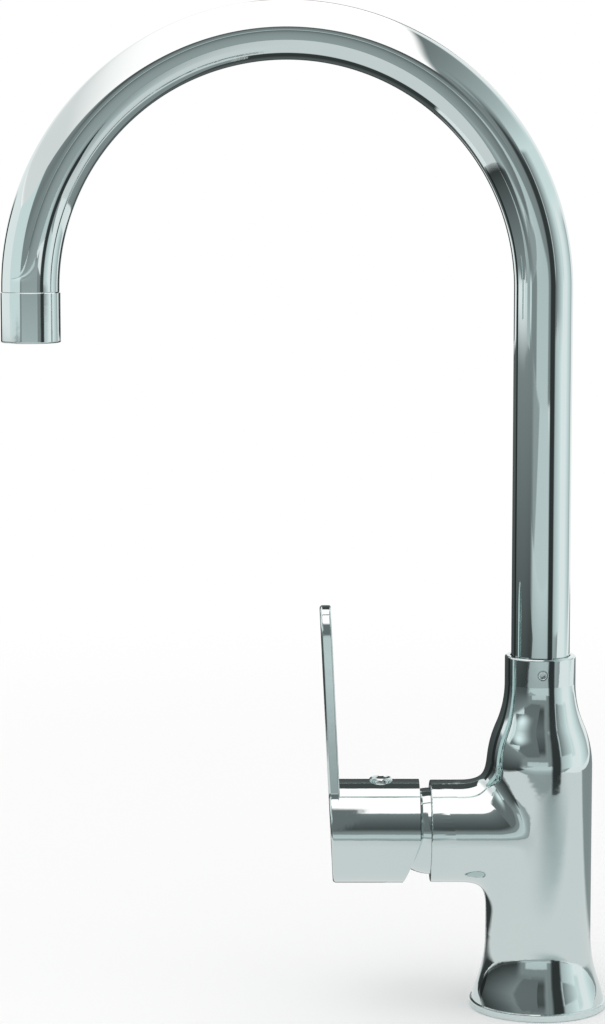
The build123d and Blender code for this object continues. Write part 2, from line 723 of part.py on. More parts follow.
# Tail brazed into the tube: screw groove, two glide ring grooves and two O-ring grooves
with BuildPart() as spout_tail:
    with BuildSketch(Plane.XZ):
        with BuildLine():
            Polyline(
                (tail_bore / 2, tail_bottom),
                (tube_radius, tail_bottom),
                (tube_radius, lower_ring_bottom),
                (glide_groove_radius, lower_ring_bottom),
                (glide_groove_radius, lower_ring_top),
                (tube_radius, lower_ring_top),
                (tube_radius, lower_o_ring_top - o_ring_groove_width),
                (o_groove_radius, lower_o_ring_top - o_ring_groove_width),
                (o_groove_radius, lower_o_ring_top),
                (tube_radius, lower_o_ring_top),
                (tube_radius, upper_o_ring_top - o_ring_groove_width),
                (o_groove_radius, upper_o_ring_top - o_ring_groove_width),
                (o_groove_radius, upper_o_ring_top),
                (tube_radius, upper_o_ring_top),
                (tube_radius, upper_ring_bottom),
                (glide_groove_radius, upper_ring_bottom),
                (glide_groove_radius, upper_ring_top),
                (tube_radius, upper_ring_top),
                (tube_radius, collar_screw_height - screw_groove_half),
                (screw_groove_radius, collar_screw_height - screw_groove_half),
                (screw_groove_radius, collar_screw_height + screw_groove_half),
                (tube_radius, collar_screw_height + screw_groove_half),
                (tube_radius, tube_end),
                (tube_bore_radius - seat_gap, tube_end),
                (tube_bore_radius - seat_gap, tube_end + tail_spigot_length),
                (tail_bore / 2, tube_end + tail_spigot_length),
                close=True,
            )
        make_face()
    revolve(axis=Axis.Z)

# Two plastic glide rings on the tail
with BuildPart() as glide_rings:
    with BuildSketch(Plane.XY.offset(lower_ring_bottom)):
        Circle(glide_ring_radius)
        Circle(glide_ring_radius - glide_ring_thickness, mode=Mode.SUBTRACT)
    extrude(amount=glide_ring_width)
    with BuildSketch(Plane.XY.offset(upper_ring_bottom)):
        Circle(glide_ring_radius)
        Circle(glide_ring_radius - glide_ring_thickness, mode=Mode.SUBTRACT)
    extrude(amount=glide_ring_width)

# Two O-rings on the tail
with BuildPart() as spout_o_rings:
    with BuildSketch(Plane.XZ):
        with Locations(
            (o_ring_radius, lower_o_ring_top - o_ring_groove_width / 2),
            (o_ring_radius, upper_o_ring_top - o_ring_groove_width / 2),
        ):
            Circle(o_ring_section / 2)
    revolve(axis=Axis.Z)

# Threaded nose brazed into the tube's outlet
with BuildPart() as spout_nose:
    with BuildSketch(Plane(origin=(-spout_reach, 0, nose_bottom))):
        Circle(nose_radius)
        Circle(nose_bore / 2, mode=Mode.SUBTRACT)
    extrude(amount=nose_thread_length + nose_spigot_length)

# Aerator sleeve with a lip that holds the insert
with BuildPart() as aerator_shell:
    with BuildSketch(outlet_section):
        with BuildLine():
            inside = Polyline(
                (shell_thread_radius, outlet_height),
                (shell_thread_radius, washer_bottom),
                (shell_bore_radius, washer_bottom),
                (shell_bore_radius, screen_bottom),
                (lip_radius, screen_bottom),
                (lip_radius, shell_bottom),
                (shell_radius - shell_rounding, shell_bottom),
            )
            round_edge = TangentArc(inside @ 1, (shell_radius, shell_bottom + shell_rounding), tangent=(1, 0))
            Polyline(
                round_edge @ 1,
                (shell_radius, outlet_height - joint_chamfer),
                (shell_radius - joint_chamfer, outlet_height),
                inside @ 0,
            )
        make_face()
    revolve(axis=outlet_axis)

# Flat washer under the nose
with BuildPart() as aerator_washer:
    with BuildSketch(Plane(origin=(-spout_reach, 0, washer_bottom))):
        Circle(nose_radius)
        Circle(nose_radius - washer_width, mode=Mode.SUBTRACT)
    extrude(amount=washer_thickness)

# Aerator insert: jet plate on a skirt with air slots
with BuildPart() as aerator_core:
    with BuildSketch(Plane(origin=(-spout_reach, 0, core_bottom))):
        Circle(core_radius)
    extrude(amount=washer_bottom - core_bottom)
    with BuildSketch(Plane(origin=(-spout_reach, 0, core_bottom))):
        Circle(core_radius - core_wall)
    extrude(amount=washer_bottom - core_bottom - core_plate, mode=Mode.SUBTRACT)
    with BuildSketch(Plane(origin=(-spout_reach, 0, washer_bottom))):
        with PolarLocations(core_jet_circle / 2, core_jet_count):
            Circle(core_jet_diameter / 2)
    extrude(amount=-core_plate, mode=Mode.SUBTRACT)
    with BuildSketch(Plane(origin=(-spout_reach, 0, core_bottom))):
        with PolarLocations(core_radius, core_slot_count):
            Rectangle(3 * core_wall, core_slot_width)
    extrude(amount=core_slot_height, mode=Mode.SUBTRACT)

# Outlet screen that rests on the sleeve's lip
with BuildPart() as aerator_screen:
    with BuildSketch(Plane(origin=(-spout_reach, 0, screen_bottom))):
        Circle(core_radius)
        with HexLocations((screen_cell + screen_web) / 2, screen_rows, screen_rows) as cells:
            spots = [c.position for c in cells.local_locations]
        with Locations(*[s for s in spots if s.length < lip_radius - screen_cell]):
            RegularPolygon(screen_cell / 2, 6, major_radius=False, rotation=30, mode=Mode.SUBTRACT)
    extrude(amount=screen_thickness)

pieces = {
    "mixer_body": mixer_body,
    "base_seal": base_seal,
    "collar_screw": collar_screw,
    "cartridge_base": cartridge_base,
    "port_seals": port_seals,
    "fixed_disc": fixed_disc,
    "cartridge_housing": cartridge_housing,
    "cartridge_nut": cartridge_nut,
    "dome_cover": dome_cover,
    "cartridge_rotor": cartridge_rotor,
    "stem_pin": stem_pin,
    "disc_carrier": disc_carrier,
    "moving_disc": moving_disc,
    "lever_stem": lever_stem,
    "lever_handle": lever_handle,
    "lever_screw": lever_screw,
    "lever_plug": lever_plug,
    "spout_tube": spout_tube,
    "spout_tail": spout_tail,
    "glide_rings": glide_rings,
    "spout_o_rings": spout_o_rings,
    "spout_nose": spout_nose,
    "aerator_shell": aerator_shell,
    "aerator_washer": aerator_washer,
    "aerator_core": aerator_core,
    "aerator_screen": aerator_screen,
}
os.makedirs("parts", exist_ok=True)
for name, piece in pieces.items():
    piece.part.label = name
    export_step(piece.part, f"parts/{name}.step")
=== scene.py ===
import json
import logging
import math
from collections.abc import Iterable, Sequence
from dataclasses import dataclass, field
from enum import Enum

import bmesh
import bpy
import numpy as np
from bpy.types import Material, Mesh, Node, NodeSocket, NodeTree, Object
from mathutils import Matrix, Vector


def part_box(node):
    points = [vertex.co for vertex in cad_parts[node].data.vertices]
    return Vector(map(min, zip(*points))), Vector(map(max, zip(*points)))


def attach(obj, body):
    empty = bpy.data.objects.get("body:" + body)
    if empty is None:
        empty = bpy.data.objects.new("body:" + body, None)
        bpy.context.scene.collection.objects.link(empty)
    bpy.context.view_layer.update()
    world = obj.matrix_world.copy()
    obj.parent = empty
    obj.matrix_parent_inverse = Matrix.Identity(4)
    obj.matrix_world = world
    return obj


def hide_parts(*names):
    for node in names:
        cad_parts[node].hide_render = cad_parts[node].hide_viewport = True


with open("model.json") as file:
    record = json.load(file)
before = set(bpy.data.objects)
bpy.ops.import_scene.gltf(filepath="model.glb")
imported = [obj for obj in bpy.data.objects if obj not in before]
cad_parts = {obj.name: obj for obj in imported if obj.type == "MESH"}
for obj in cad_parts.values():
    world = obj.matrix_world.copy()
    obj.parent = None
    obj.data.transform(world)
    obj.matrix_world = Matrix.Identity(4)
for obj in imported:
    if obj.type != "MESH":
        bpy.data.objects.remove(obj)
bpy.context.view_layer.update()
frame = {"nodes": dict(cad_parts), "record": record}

Colour = tuple[float, float, float]
Point = tuple[float, float, float]
Pair = tuple[float, float]

log = logging.getLogger("mixer_tap")

MILLIMETRE = 0.001
WHITE = (1.0, 1.0, 1.0)
COOL = (0.92, 1.0, 1.01)
WARM = (1.12, 1.0, 1.0)
PALE_WARM = (1.05, 1.0, 1.0)


class Body(Enum):
    """The bodies of the tap that carry pieces of the scene's own."""

    CASTING = "body"
    LEVER = "lever"
    SPOUT = "spout"


class Slot(Enum):
    """The material slots of the tap's record."""

    CAST_CHROME = "cast_chrome"
    TUBE_CHROME = "tube_chrome"
    BRASS = "brass"
    STEEL = "steel"
    SEAL_RUBBER = "seal_rubber"
    WHITE_PLASTIC = "white_plastic"
    GREY_PLASTIC = "grey_plastic"
    CERAMIC = "ceramic"


def by_name(rows: Iterable[dict]) -> dict[str, dict]:
    """Return rows of the record, such as its mounts or joints, under their names."""
    return {row["name"]: row for row in rows}


def opaque(colour: Colour) -> tuple[float, float, float, float]:
    """Return a colour as a node socket takes it."""
    return (*colour, 1.0)


def placed(name: str, data: bpy.types.ID) -> Object:
    """Make an object and link it to the scene.

    Args:
        name: the object's name.
        data: its mesh, lamp or camera.

    Returns:
        The object.
    """
    made = bpy.data.objects.new(name, data)
    bpy.context.scene.collection.objects.link(made)
    return made


class Nodes:
    """Adds nodes to a tree and links them, so that a finish or a shape reads as a short recipe."""

    # A mix node has sockets of the same name for numbers, vectors and colours, so its colours go by number.
    MIX_FIRST = 6
    MIX_SECOND = 7
    MIX_RESULT = 2

    def __init__(self, tree: NodeTree) -> None:
        """Start on the emptied tree."""
        self.tree = tree
        tree.nodes.clear()

    @classmethod
    def of_material(cls, name: str) -> tuple[Material, "Nodes"]:
        """Make a node material.

        Args:
            name: the material's name.

        Returns:
            The material, and its nodes to add to.
        """
        made = bpy.data.materials.new(name)
        made.use_nodes = True
        return made, cls(made.node_tree)

    def add(self, kind: str, inputs: dict | None = None, **settings: object) -> Node:
        """Add one node.

        Args:
            kind: Blender's type name of the node.
            inputs: socket name or number to a value, or to the socket that feeds it.
            settings: properties of the node itself.

        Returns:
            The new node.
        """
        node = self.tree.nodes.new(kind)
        for name, value in settings.items():
            setattr(node, name, value)
        for socket, value in (inputs or {}).items():
            if isinstance(value, NodeSocket):
                self.tree.links.new(value, node.inputs[socket])
            else:
                node.inputs[socket].default_value = value
        return node

    def math(self, operation: str, *values: object) -> NodeSocket:
        """Add a math node on numbers or sockets and return its result."""
        node = self.add("ShaderNodeMath", dict(enumerate(values)), operation=operation)
        return node.outputs["Value"]

    def ramp(self, value: NodeSocket, low: float, high: float) -> NodeSocket:
        """Spread a value from 0 to 1 over low to high and return the result."""
        node = self.add("ShaderNodeMapRange", {"Value": value, "To Min": low, "To Max": high})
        return node.outputs["Result"]

    def fade(self, value: NodeSocket, start: float, end: float) -> NodeSocket:
        """Turn a value into a smooth step from 0 at start to 1 at end and return the step."""
        inputs = {"Value": value, "From Min": start, "From Max": end}
        return self.add("ShaderNodeMapRange", inputs, interpolation_type="SMOOTHSTEP").outputs["Result"]

    def noise(self, vector: NodeSocket, scale: float, detail: float) -> NodeSocket:
        """Add a noise texture and return its value."""
        inputs = {"Vector": vector, "Scale": scale, "Detail": detail}
        return self.add("ShaderNodeTexNoise", inputs).outputs["Fac"]

    def mixed(self, share: NodeSocket, first: object, second: object) -> NodeSocket:
        """Mix two colours or sockets by the share of the second and return the mixed colour."""
        inputs = {"Factor": share, self.MIX_FIRST: first, self.MIX_SECOND: second}
        return self.add("ShaderNodeMix", inputs, data_type="RGBA").outputs[self.MIX_RESULT]

    def show(self, share: NodeSocket, first: NodeSocket, second: NodeSocket) -> None:
        """Make two shaders, mixed by the share of the second, the material's surface."""
        mixed = self.add("ShaderNodeMixShader", {0: share, 1: first, 2: second})
        self.add("ShaderNodeOutputMaterial", {"Surface": mixed.outputs["Shader"]})


@dataclass(frozen=True)
class Finish:
    """A surface with the fine unevenness in colour, gloss and relief that the real one has."""

    name: str
    colour: Colour
    drift: Colour  # the colour that patches of the surface drift towards
    gloss: Pair  # least and most roughness
    metallic: float = 0.0
    patches: float = 60.0  # per metre
    patch_detail: float = 3.0  # finer layers of noise in the patches
    grain: float = 900.0  # per metre
    grain_detail: float = 4.0  # finer layers of noise in the grain
    grain_stretch: Point = (1.0, 1.0, 1.0)
    relief: float = 0.01 * MILLIMETRE
    coat: float = 0.0

    def material(self) -> Material:
        """Make the material of this finish.

        Returns:
            A node material that reads Object coordinates only.
        """
        made, nodes = Nodes.of_material(self.name)
        place = nodes.add("ShaderNodeTexCoord").outputs["Object"]
        stretched = nodes.add("ShaderNodeMapping", {"Vector": place, "Scale": self.grain_stretch})
        patch = nodes.noise(place, self.patches, self.patch_detail)
        grain = nodes.noise(stretched.outputs["Vector"], self.grain, self.grain_detail)
        bump = nodes.add("ShaderNodeBump", {"Height": grain, "Distance": self.relief})
        colour = nodes.mixed(patch, opaque(self.colour), opaque(self.drift))
        roughness = nodes.ramp(grain, *self.gloss)
        colour, roughness = self.marked(nodes, place, colour, roughness)
        surface = nodes.add(
            "ShaderNodeBsdfPrincipled",
            {"Base Color": colour, "Roughness": roughness, "Metallic": self.metallic,
             "Coat Weight": self.coat, "Normal": bump.outputs["Normal"]},
        )
        nodes.add("ShaderNodeOutputMaterial", {"Surface": surface.outputs["BSDF"]})
        return made

    def marked(
        self, nodes: Nodes, place: NodeSocket, colour: NodeSocket, roughness: NodeSocket
    ) -> tuple[NodeSocket, NodeSocket]:
        """Return colour and roughness as they are; a finish with marks of its own changes them here."""
        return colour, roughness


@dataclass(frozen=True)
class PlatedCasting(Finish):
    """Chrome on the outside of the castings, bare metal in the recess under the foot."""

    bare_colour: Colour = (0.62, 0.47, 0.24)
    bare_roughness: float = 0.42
    margin: float = 0.05 * MILLIMETRE  # past the walls of the recess

    def recess(self) -> Pair:
        """Read the recess from the record's mounts.

        Returns:
            The radius and the top of the space whose walls are bare.
        """
        mounts = by_name(frame["record"]["mounts"])
        radius = mounts["base_recess"]["dims"]["r_mm"] * MILLIMETRE
        stud = mounts["stud_hole"]
        top = stud["pos_m"][2] + stud["dims"]["length_mm"] * MILLIMETRE
        return radius + self.margin, top + self.margin

    def marked(
        self, nodes: Nodes, place: NodeSocket, colour: NodeSocket, roughness: NodeSocket
    ) -> tuple[NodeSocket, NodeSocket]:
        """Change colour and roughness inside the recess.

        Args:
            nodes: the material's nodes.
            place: the Object coordinates.
            colour: the plated colour.
            roughness: the plated roughness.

        Returns:
            The colour and the roughness of the whole casting.
        """
        recess_radius, recess_top = self.recess()
        flat = nodes.add("ShaderNodeVectorMath", {0: place, 1: (1.0, 1.0, 0.0)}, operation="MULTIPLY")
        radius = nodes.add("ShaderNodeVectorMath", {0: flat.outputs["Vector"]}, operation="LENGTH")
        height = nodes.add("ShaderNodeSeparateXYZ", {"Vector": place}).outputs["Z"]
        inside = nodes.math("LESS_THAN", radius.outputs["Value"], recess_radius)
        below = nodes.math("LESS_THAN", height, recess_top)
        bare = nodes.math("MULTIPLY", inside, below)
        rough = nodes.math("MAXIMUM", roughness, nodes.math("MULTIPLY", bare, self.bare_roughness))
        return nodes.mixed(bare, colour, opaque(self.bare_colour)), rough


@dataclass
class Palette:
    """The finishes of the tap, one for each material slot of its record."""

    chrome: Colour = (0.685, 0.775, 0.765)
    cool_chrome: Colour = (0.645, 0.745, 0.74)
    materials: dict[Slot, Material] = field(init=False)

    def __post_init__(self) -> None:
        """Make the material of every finish."""
        self.materials = {slot: finish.material() for slot, finish in self.finishes().items()}

    def finishes(self) -> dict[Slot, Finish]:
        """Describe the finishes.

        Returns:
            The finish of each slot.
        """
        return {
            Slot.CAST_CHROME: PlatedCasting(
                "cast_chrome", self.chrome, self.cool_chrome, (0.02, 0.07), metallic=1.0,
                patches=35.0, grain=38.0, relief=0.10 * MILLIMETRE,
            ),
            Slot.TUBE_CHROME: Finish(
                "tube_chrome", self.chrome, self.cool_chrome, (0.015, 0.045), metallic=1.0,
                patches=40.0, grain=60.0, grain_stretch=(1.0, 1.0, 0.25), relief=0.012 * MILLIMETRE,
            ),
            Slot.BRASS: Finish(
                "turned_brass", (0.74, 0.56, 0.29), (0.60, 0.43, 0.20), (0.22, 0.42), metallic=1.0,
                grain=2400.0, grain_stretch=(0.08, 0.08, 1.0),
            ),
            Slot.STEEL: Finish(
                "drawn_steel", (0.70, 0.78, 0.775), (0.62, 0.70, 0.70), (0.12, 0.26), metallic=1.0,
                grain=2600.0, grain_stretch=(1.0, 1.0, 0.1), relief=0.006 * MILLIMETRE,
            ),
            Slot.SEAL_RUBBER: Finish(
                "seal_rubber", (0.028, 0.028, 0.030), (0.05, 0.05, 0.052), (0.55, 0.75),
                grain=1500.0, relief=0.03 * MILLIMETRE,
            ),
            Slot.WHITE_PLASTIC: Finish(
                "white_plastic", (0.83, 0.83, 0.81), (0.77, 0.77, 0.74), (0.30, 0.45), grain=1800.0,
            ),
            Slot.GREY_PLASTIC: Finish(
                "grey_plastic", (0.45, 0.47, 0.48), (0.38, 0.40, 0.42), (0.32, 0.48), grain=1800.0,
            ),
            Slot.CERAMIC: Finish(
                "ground_ceramic", (0.90, 0.89, 0.86), (0.84, 0.83, 0.79), (0.08, 0.2),
                grain=3000.0, relief=0.002 * MILLIMETRE, coat=0.3,
            ),
        }


class ShapeTree:
    """A geometry node tree with named sizes that ends in realised geometry with its material."""

    def __init__(self, name: str) -> None:
        """Open a tree with a geometry going in and one coming out.

        Args:
            name: the tree's name.
        """
        self.tree = bpy.data.node_groups.new(name, "GeometryNodeTree")
        self.nodes = Nodes(self.tree)
        for direction in ("INPUT", "OUTPUT"):
            self.tree.interface.new_socket("Geometry", in_out=direction, socket_type="NodeSocketGeometry")
        self.entry = self.nodes.add("NodeGroupInput")

    def size(self, name: str, kind: str = "NodeSocketFloat") -> NodeSocket:
        """Add a named input and return the socket that carries it."""
        self.tree.interface.new_socket(name, in_out="INPUT", socket_type=kind)
        return self.entry.outputs[name]

    def ring(self, points: NodeSocket, radius: NodeSocket) -> NodeSocket:
        """Add a round section for a sweep and return its curve."""
        inputs = {"Resolution": points, "Radius": radius}
        return self.nodes.add("GeometryNodeCurvePrimitiveCircle", inputs).outputs["Curve"]

    def sweep(self, line: NodeSocket, section: NodeSocket, capped: bool) -> NodeSocket:
        """Sweep a section along a line, with its ends closed or not, and return the mesh."""
        inputs = {"Curve": line, "Profile Curve": section, "Fill Caps": capped}
        return self.nodes.add("GeometryNodeCurveToMesh", inputs).outputs["Mesh"]

    def moved(self, geometry: NodeSocket, name: str) -> NodeSocket:
        """Move geometry by a named input and return it."""
        inputs = {"Geometry": geometry, "Translation": self.size(name, "NodeSocketVector")}
        return self.nodes.add("GeometryNodeTransform", inputs).outputs["Geometry"]

    def close(self, geometry: NodeSocket) -> "ShapeTree":
        """End the tree: realise what it made and give it the material that goes in as Finish.

        Args:
            geometry: what the tree made.

        Returns:
            The tree itself.
        """
        finish = self.size("Finish", "NodeSocketMaterial")
        real = self.nodes.add("GeometryNodeRealizeInstances", {"Geometry": geometry})
        dressed = self.nodes.add(
            "GeometryNodeSetMaterial", {"Geometry": real.outputs["Geometry"], "Material": finish}
        )
        self.nodes.add("NodeGroupOutput", {"Geometry": dressed.outputs["Geometry"]})
        return self

    def apply_to(self, piece: Object, sizes: dict[str, object]) -> None:
        """Put the tree on a piece as a modifier.

        Args:
            piece: the object that gets the modifier.
            sizes: the values of the named inputs, which are set by socket identifier.
        """
        modifier = piece.modifiers.new(self.tree.name, "NODES")
        modifier.node_group = self.tree
        for item in self.tree.interface.items_tree:
            if item.item_type == "SOCKET" and item.in_out == "INPUT" and item.name in sizes:
                modifier[item.identifier] = sizes[item.name]


@dataclass(frozen=True)
class Corner:
    """A corner of a turned section, which runs round the axis as a circle or, with flats, as a polygon."""

    radius: float  # to the middle of a flat, where it has flats
    height: float
    flats: int = 0

    def reach(self, angle: float) -> float:
        """Measure how far from the axis the corner runs.

        Args:
            angle: the direction from the axis.

        Returns:
            The distance from the axis in that direction.
        """
        if not self.flats:
            return self.radius
        half = math.pi / self.flats
        return self.radius / math.cos((angle + half) % (2 * half) - half)


@dataclass
class SubAssembly:
    """Pieces of the tap that come apart together on a bench: CAD nodes and meshes of the scene's own."""

    palette: Palette
    nodes: tuple[str, ...] = ()
    sharp_angle: float = math.radians(15.0)  # edges that turn by more stay edges in the shading
    merge_distance: float = 0.001 * MILLIMETRE
    round_points: int = 96  # of a turned piece

    def build(self) -> list[Object]:
        """Dress the CAD nodes, make the scene's own pieces and return them all."""
        return self.dress() + self.make()

    def dress(self) -> list[Object]:
        """Give each CAD node the finish of its slot in the record.

        Returns:
            The dressed nodes.
        """
        slots = {part["node"]: Slot(part["material_slot"]) for part in frame["record"]["subparts"]}
        for name in self.nodes:
            self.coat(frame["nodes"][name].data, slots[name])
        return [frame["nodes"][name] for name in self.nodes]

    def coat(self, mesh: Mesh, slot: Slot) -> None:
        """Give a mesh the finish of a slot and no other."""
        mesh.materials.clear()
        mesh.materials.append(self.palette.materials[slot])

    def make(self) -> list[Object]:
        """Return the scene's own pieces: none, where the CAD nodes are the whole sub-assembly."""
        return []

    def start(self, name: str, points: Sequence[Point] = (), faces: Sequence[Sequence[int]] = ()) -> Object:
        """Make the object of a piece.

        Args:
            name: the piece's name.
            points: the corners of its faces or, with no faces, a line for a shape tree to follow.
            faces: the numbers of each face's corners.

        Returns:
            The new object, linked to the scene.
        """
        mesh = bpy.data.meshes.new(name)
        line = [] if faces else [(number, number + 1) for number in range(len(points) - 1)]
        mesh.from_pydata(points, line, faces)
        return placed(name, mesh)

    def settle(self, piece: Object, slot: Slot) -> None:
        """Turn a piece and its modifiers into one plain, smoothly shaded mesh.

        Args:
            piece: the piece.
            slot: the slot of its finish.
        """
        bpy.context.view_layer.update()
        evaluated = piece.evaluated_get(bpy.context.evaluated_depsgraph_get())
        mesh = bpy.data.meshes.new_from_object(evaluated)
        piece.modifiers.clear()
        piece.data = mesh
        self.coat(mesh, slot)
        mesh.shade_smooth()
        mesh.set_sharp_from_angle(angle=self.sharp_angle)

    def turned(self, name: str, profile: Sequence[Corner], seat: Vector, axis: Point = (0, 0, 1)) -> Object:
        """Turn a section about an axis.

        Args:
            name: the piece's name.
            profile: the section's corners, from the axis to the axis.
            seat: the place from which radius and height count.
            axis: the direction in which height counts.

        Returns:
            The turned piece.
        """
        count = self.round_points
        angles = [2 * math.pi * number / count for number in range(count)]
        tilt = Vector((0, 0, 1)).rotation_difference(Vector(axis))
        points = []
        for corner in profile:
            for angle in angles:
                reach = corner.reach(angle)
                spot = Vector((reach * math.cos(angle), reach * math.sin(angle), corner.height))
                points.append(seat + tilt @ spot)
        faces = []
        for first in range(0, len(points) - count, count):
            for number in range(count):
                after = (number + 1) % count
                faces.append((first + number, first + after, first + count + after, first + count + number))
        piece = self.start(name, points, faces)
        shape = bmesh.new()
        shape.from_mesh(piece.data)
        bmesh.ops.remove_doubles(shape, verts=shape.verts, dist=self.merge_distance)
        shape.to_mesh(piece.data)
        shape.free()
        return piece

    def mount(self, piece: Object, body: Body, slot: Slot, stands_for: str | None = None) -> Object:
        """Let a finished piece ride on a body.

        Args:
            piece: the piece.
            body: the body it rides on.
            slot: the slot of its finish; not used.
            stands_for: the CAD node that it replaces, if any.

        Returns:
            The piece.
        """
        if stands_for:
            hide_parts(stands_for)
        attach(piece, body.value)
        return piece


@dataclass
class ArmBlend:
    """The surface where arm and column of the casting meet, as a level surface of their two distances.

    The CAD fillet has one radius all round. This blend is as deep as the fillet at the top and below, and
    wider at the sides, as in a cast body.
    """

    arm_radius: float = 21.01 * MILLIMETRE
    column_radius: float = 21.71 * MILLIMETRE
    shoulder_radius: float = 43.08 * MILLIMETRE
    shoulder_foot: float = 101.01 * MILLIMETRE  # height where the column starts to curve in
    height_range: Pair = (34.0 * MILLIMETRE, 117.0 * MILLIMETRE)
    mouth_margin: float = 2.0 * MILLIMETRE  # stretch behind the arm's mouth that stays as it is
    reach: float = 14.0 * MILLIMETRE  # of the blend where arm and column meet at a right angle
    narrowing: float = 0.6  # power by which the blend shrinks with the angle
    roundness: int = 3  # power of the blend's curve
    depth: float = 1 / 6  # of the blend in the middle of the corner, as a share of its reach
    far: float = 1.0  # distance from the arm on the column's other side, where there is none
    skin: float = 0.25 * MILLIMETRE  # how near to the drawn surface a point counts as outside skin
    step: float = 1.1 * MILLIMETRE  # edges of the blend that are longer are halved
    cutting_rounds: int = 7
    pressing_rounds: int = 6
    slope_step: float = 0.02 * MILLIMETRE
    least: float = 1e-6  # keeps a length from being nought
    same_side: float = 0.9  # cosine between a face and the surface that it lies on
    place_digits: int = 6  # decimals of a metre at which two points are one

    def __post_init__(self) -> None:
        """Read the arm's axis and mouth from the joint of the lever."""
        joints = by_name(frame["record"]["behaviour"]["joints"])
        self.mouth, _, self.axis_height = joints["lever_turn"]["pos_m"]

    def distances(self, points: np.ndarray) -> tuple[np.ndarray, np.ndarray, np.ndarray]:
        """Measure points against column and arm.

        Args:
            points: one point in each row.

        Returns:
            The distances from the column and from the arm, and the reach of the blend at each point.
        """
        x, y, z = points.T
        radius = np.hypot(x, y)
        inner = self.column_radius - self.shoulder_radius
        lift = np.maximum(z - self.shoulder_foot, 0.0)
        span = np.hypot(radius - inner, lift)
        rise = z - self.axis_height
        away = np.maximum(np.hypot(y, rise), self.least)
        facing = ((radius - inner) / span * y / radius * y + lift / span * rise) / away
        reach = self.reach * np.clip(1.0 - facing, 0.0, 1.0) ** self.narrowing
        column = span - self.shoulder_radius
        arm = np.where(x < 0.0, away - self.arm_radius, self.far)
        return column, arm, np.maximum(reach, self.least)

    def level(self, points: np.ndarray) -> np.ndarray:
        """Measure points against the blended surface.

        Args:
            points: one point in each row.

        Returns:
            How far each point lies outside the surface.
        """
        column, arm, reach = self.distances(points)
        share = np.maximum(reach - np.abs(column - arm), 0.0) / reach
        return np.minimum(column, arm) - self.depth * reach * share ** self.roundness

    def outward(self, points: np.ndarray) -> np.ndarray:
        """Find the way out of the surface.

        Args:
            points: one point in each row.

        Returns:
            The steepest direction of the level at each point.
        """
        steps = np.eye(3) * self.slope_step
        rises = [self.level(points + step) - self.level(points - step) for step in steps]
        return np.stack(rises, axis=1) / (2 * self.slope_step)

    def in_range(self, points: np.ndarray) -> np.ndarray:
        """Pick the stretch of column and arm that the distances describe.

        Args:
            points: one point in each row.

        Returns:
            Which points lie there.
        """
        low, high = self.height_range
        x, z = points[:, 0], points[:, 2]
        return (z > low) & (z < high) & (x > self.mouth + self.mouth_margin)

    def in_blend(self, points: np.ndarray) -> np.ndarray:
        """Pick the outside skin where the blend changes the surface.

        Args:
            points: one point in each row.

        Returns:
            Which points lie there.
        """
        column, arm, _ = self.distances(points)
        near = (column < self.reach) & (arm < self.reach) & (np.minimum(column, arm) > -self.skin)
        return near & self.in_range(points)

    @staticmethod
    def coordinates(verts: Iterable[object]) -> np.ndarray:
        """Return the places of a mesh's points, one in each row."""
        return np.array([vert.co for vert in verts])

    def refine(self, shape: bmesh.types.BMesh) -> None:
        """Halve long edges of the blend, the longest first, so that it can follow the level surface.

        Args:
            shape: the casting.
        """
        for _ in range(self.cutting_rounds):
            shape.verts.index_update()
            inside = self.in_blend(self.coordinates(shape.verts))
            long = [edge for edge in shape.edges
                    if edge.calc_length() > self.step and any(inside[vert.index] for vert in edge.verts)]
            for edge in sorted(long, key=bmesh.types.BMEdge.calc_length, reverse=True):
                self.halve(edge)

    @staticmethod
    def halve(edge: bmesh.types.BMEdge) -> None:
        """Cut an edge in the middle, and the triangles beside it from there to their tips.

        Args:
            edge: the edge.
        """
        faces = list(edge.link_faces)
        tips = [next(vert for vert in face.verts if vert not in edge.verts) for face in faces]
        _, middle = bmesh.utils.edge_split(edge, edge.verts[0], 0.5)
        for face, tip in zip(faces, tips):
            bmesh.utils.face_split(face, middle, tip)

    def press(self, shape: bmesh.types.BMesh) -> None:
        """Move the blend's points onto the level surface.

        Args:
            shape: the casting.
        """
        points = self.coordinates(shape.verts)
        inside = self.in_blend(points)
        moved = points[inside]
        for _ in range(self.pressing_rounds):
            slope = self.outward(moved)
            moved = moved - slope * (self.level(moved) / np.sum(slope ** 2, axis=1))[:, None]
        points[inside] = moved
        for vert, place in zip(shape.verts, points):
            vert.co = place

    def spot(self, place: Vector) -> tuple[float, ...]:
        """Return a place in the rounded form that finds the same point in another mesh."""
        return tuple(round(value, self.place_digits) for value in place)

    def shade(self, mesh: Mesh, source: Mesh) -> None:
        """Give the skin the level's own normals and every other face those of the CAD mesh.

        Args:
            mesh: the blended mesh.
            source: the CAD mesh it was made from.
        """
        known: dict[tuple, list[Vector]] = {}
        for corner, normal in zip(source.loops, source.corner_normals):
            spot = self.spot(source.vertices[corner.vertex_index].co)
            known.setdefault(spot, []).append(normal.vector.copy())
        points = self.coordinates(mesh.vertices)
        slopes = self.outward(points)
        slopes /= np.maximum(np.linalg.norm(slopes, axis=1), self.least)[:, None]
        skin = self.in_range(points) & (np.abs(self.level(points)) < self.skin)
        chosen = []
        for face in mesh.polygons:
            on_skin = all(skin[number] for number in face.vertices)
            for number in face.vertices:
                slope = Vector(slopes[number])
                if on_skin and slope.dot(face.normal) > self.same_side:
                    chosen.append(slope)
                else:
                    spot = self.spot(mesh.vertices[number].co)
                    chosen.append(max(known.get(spot, [face.normal]), key=face.normal.dot))
        mesh.shade_smooth()
        mesh.normals_split_custom_set(chosen)


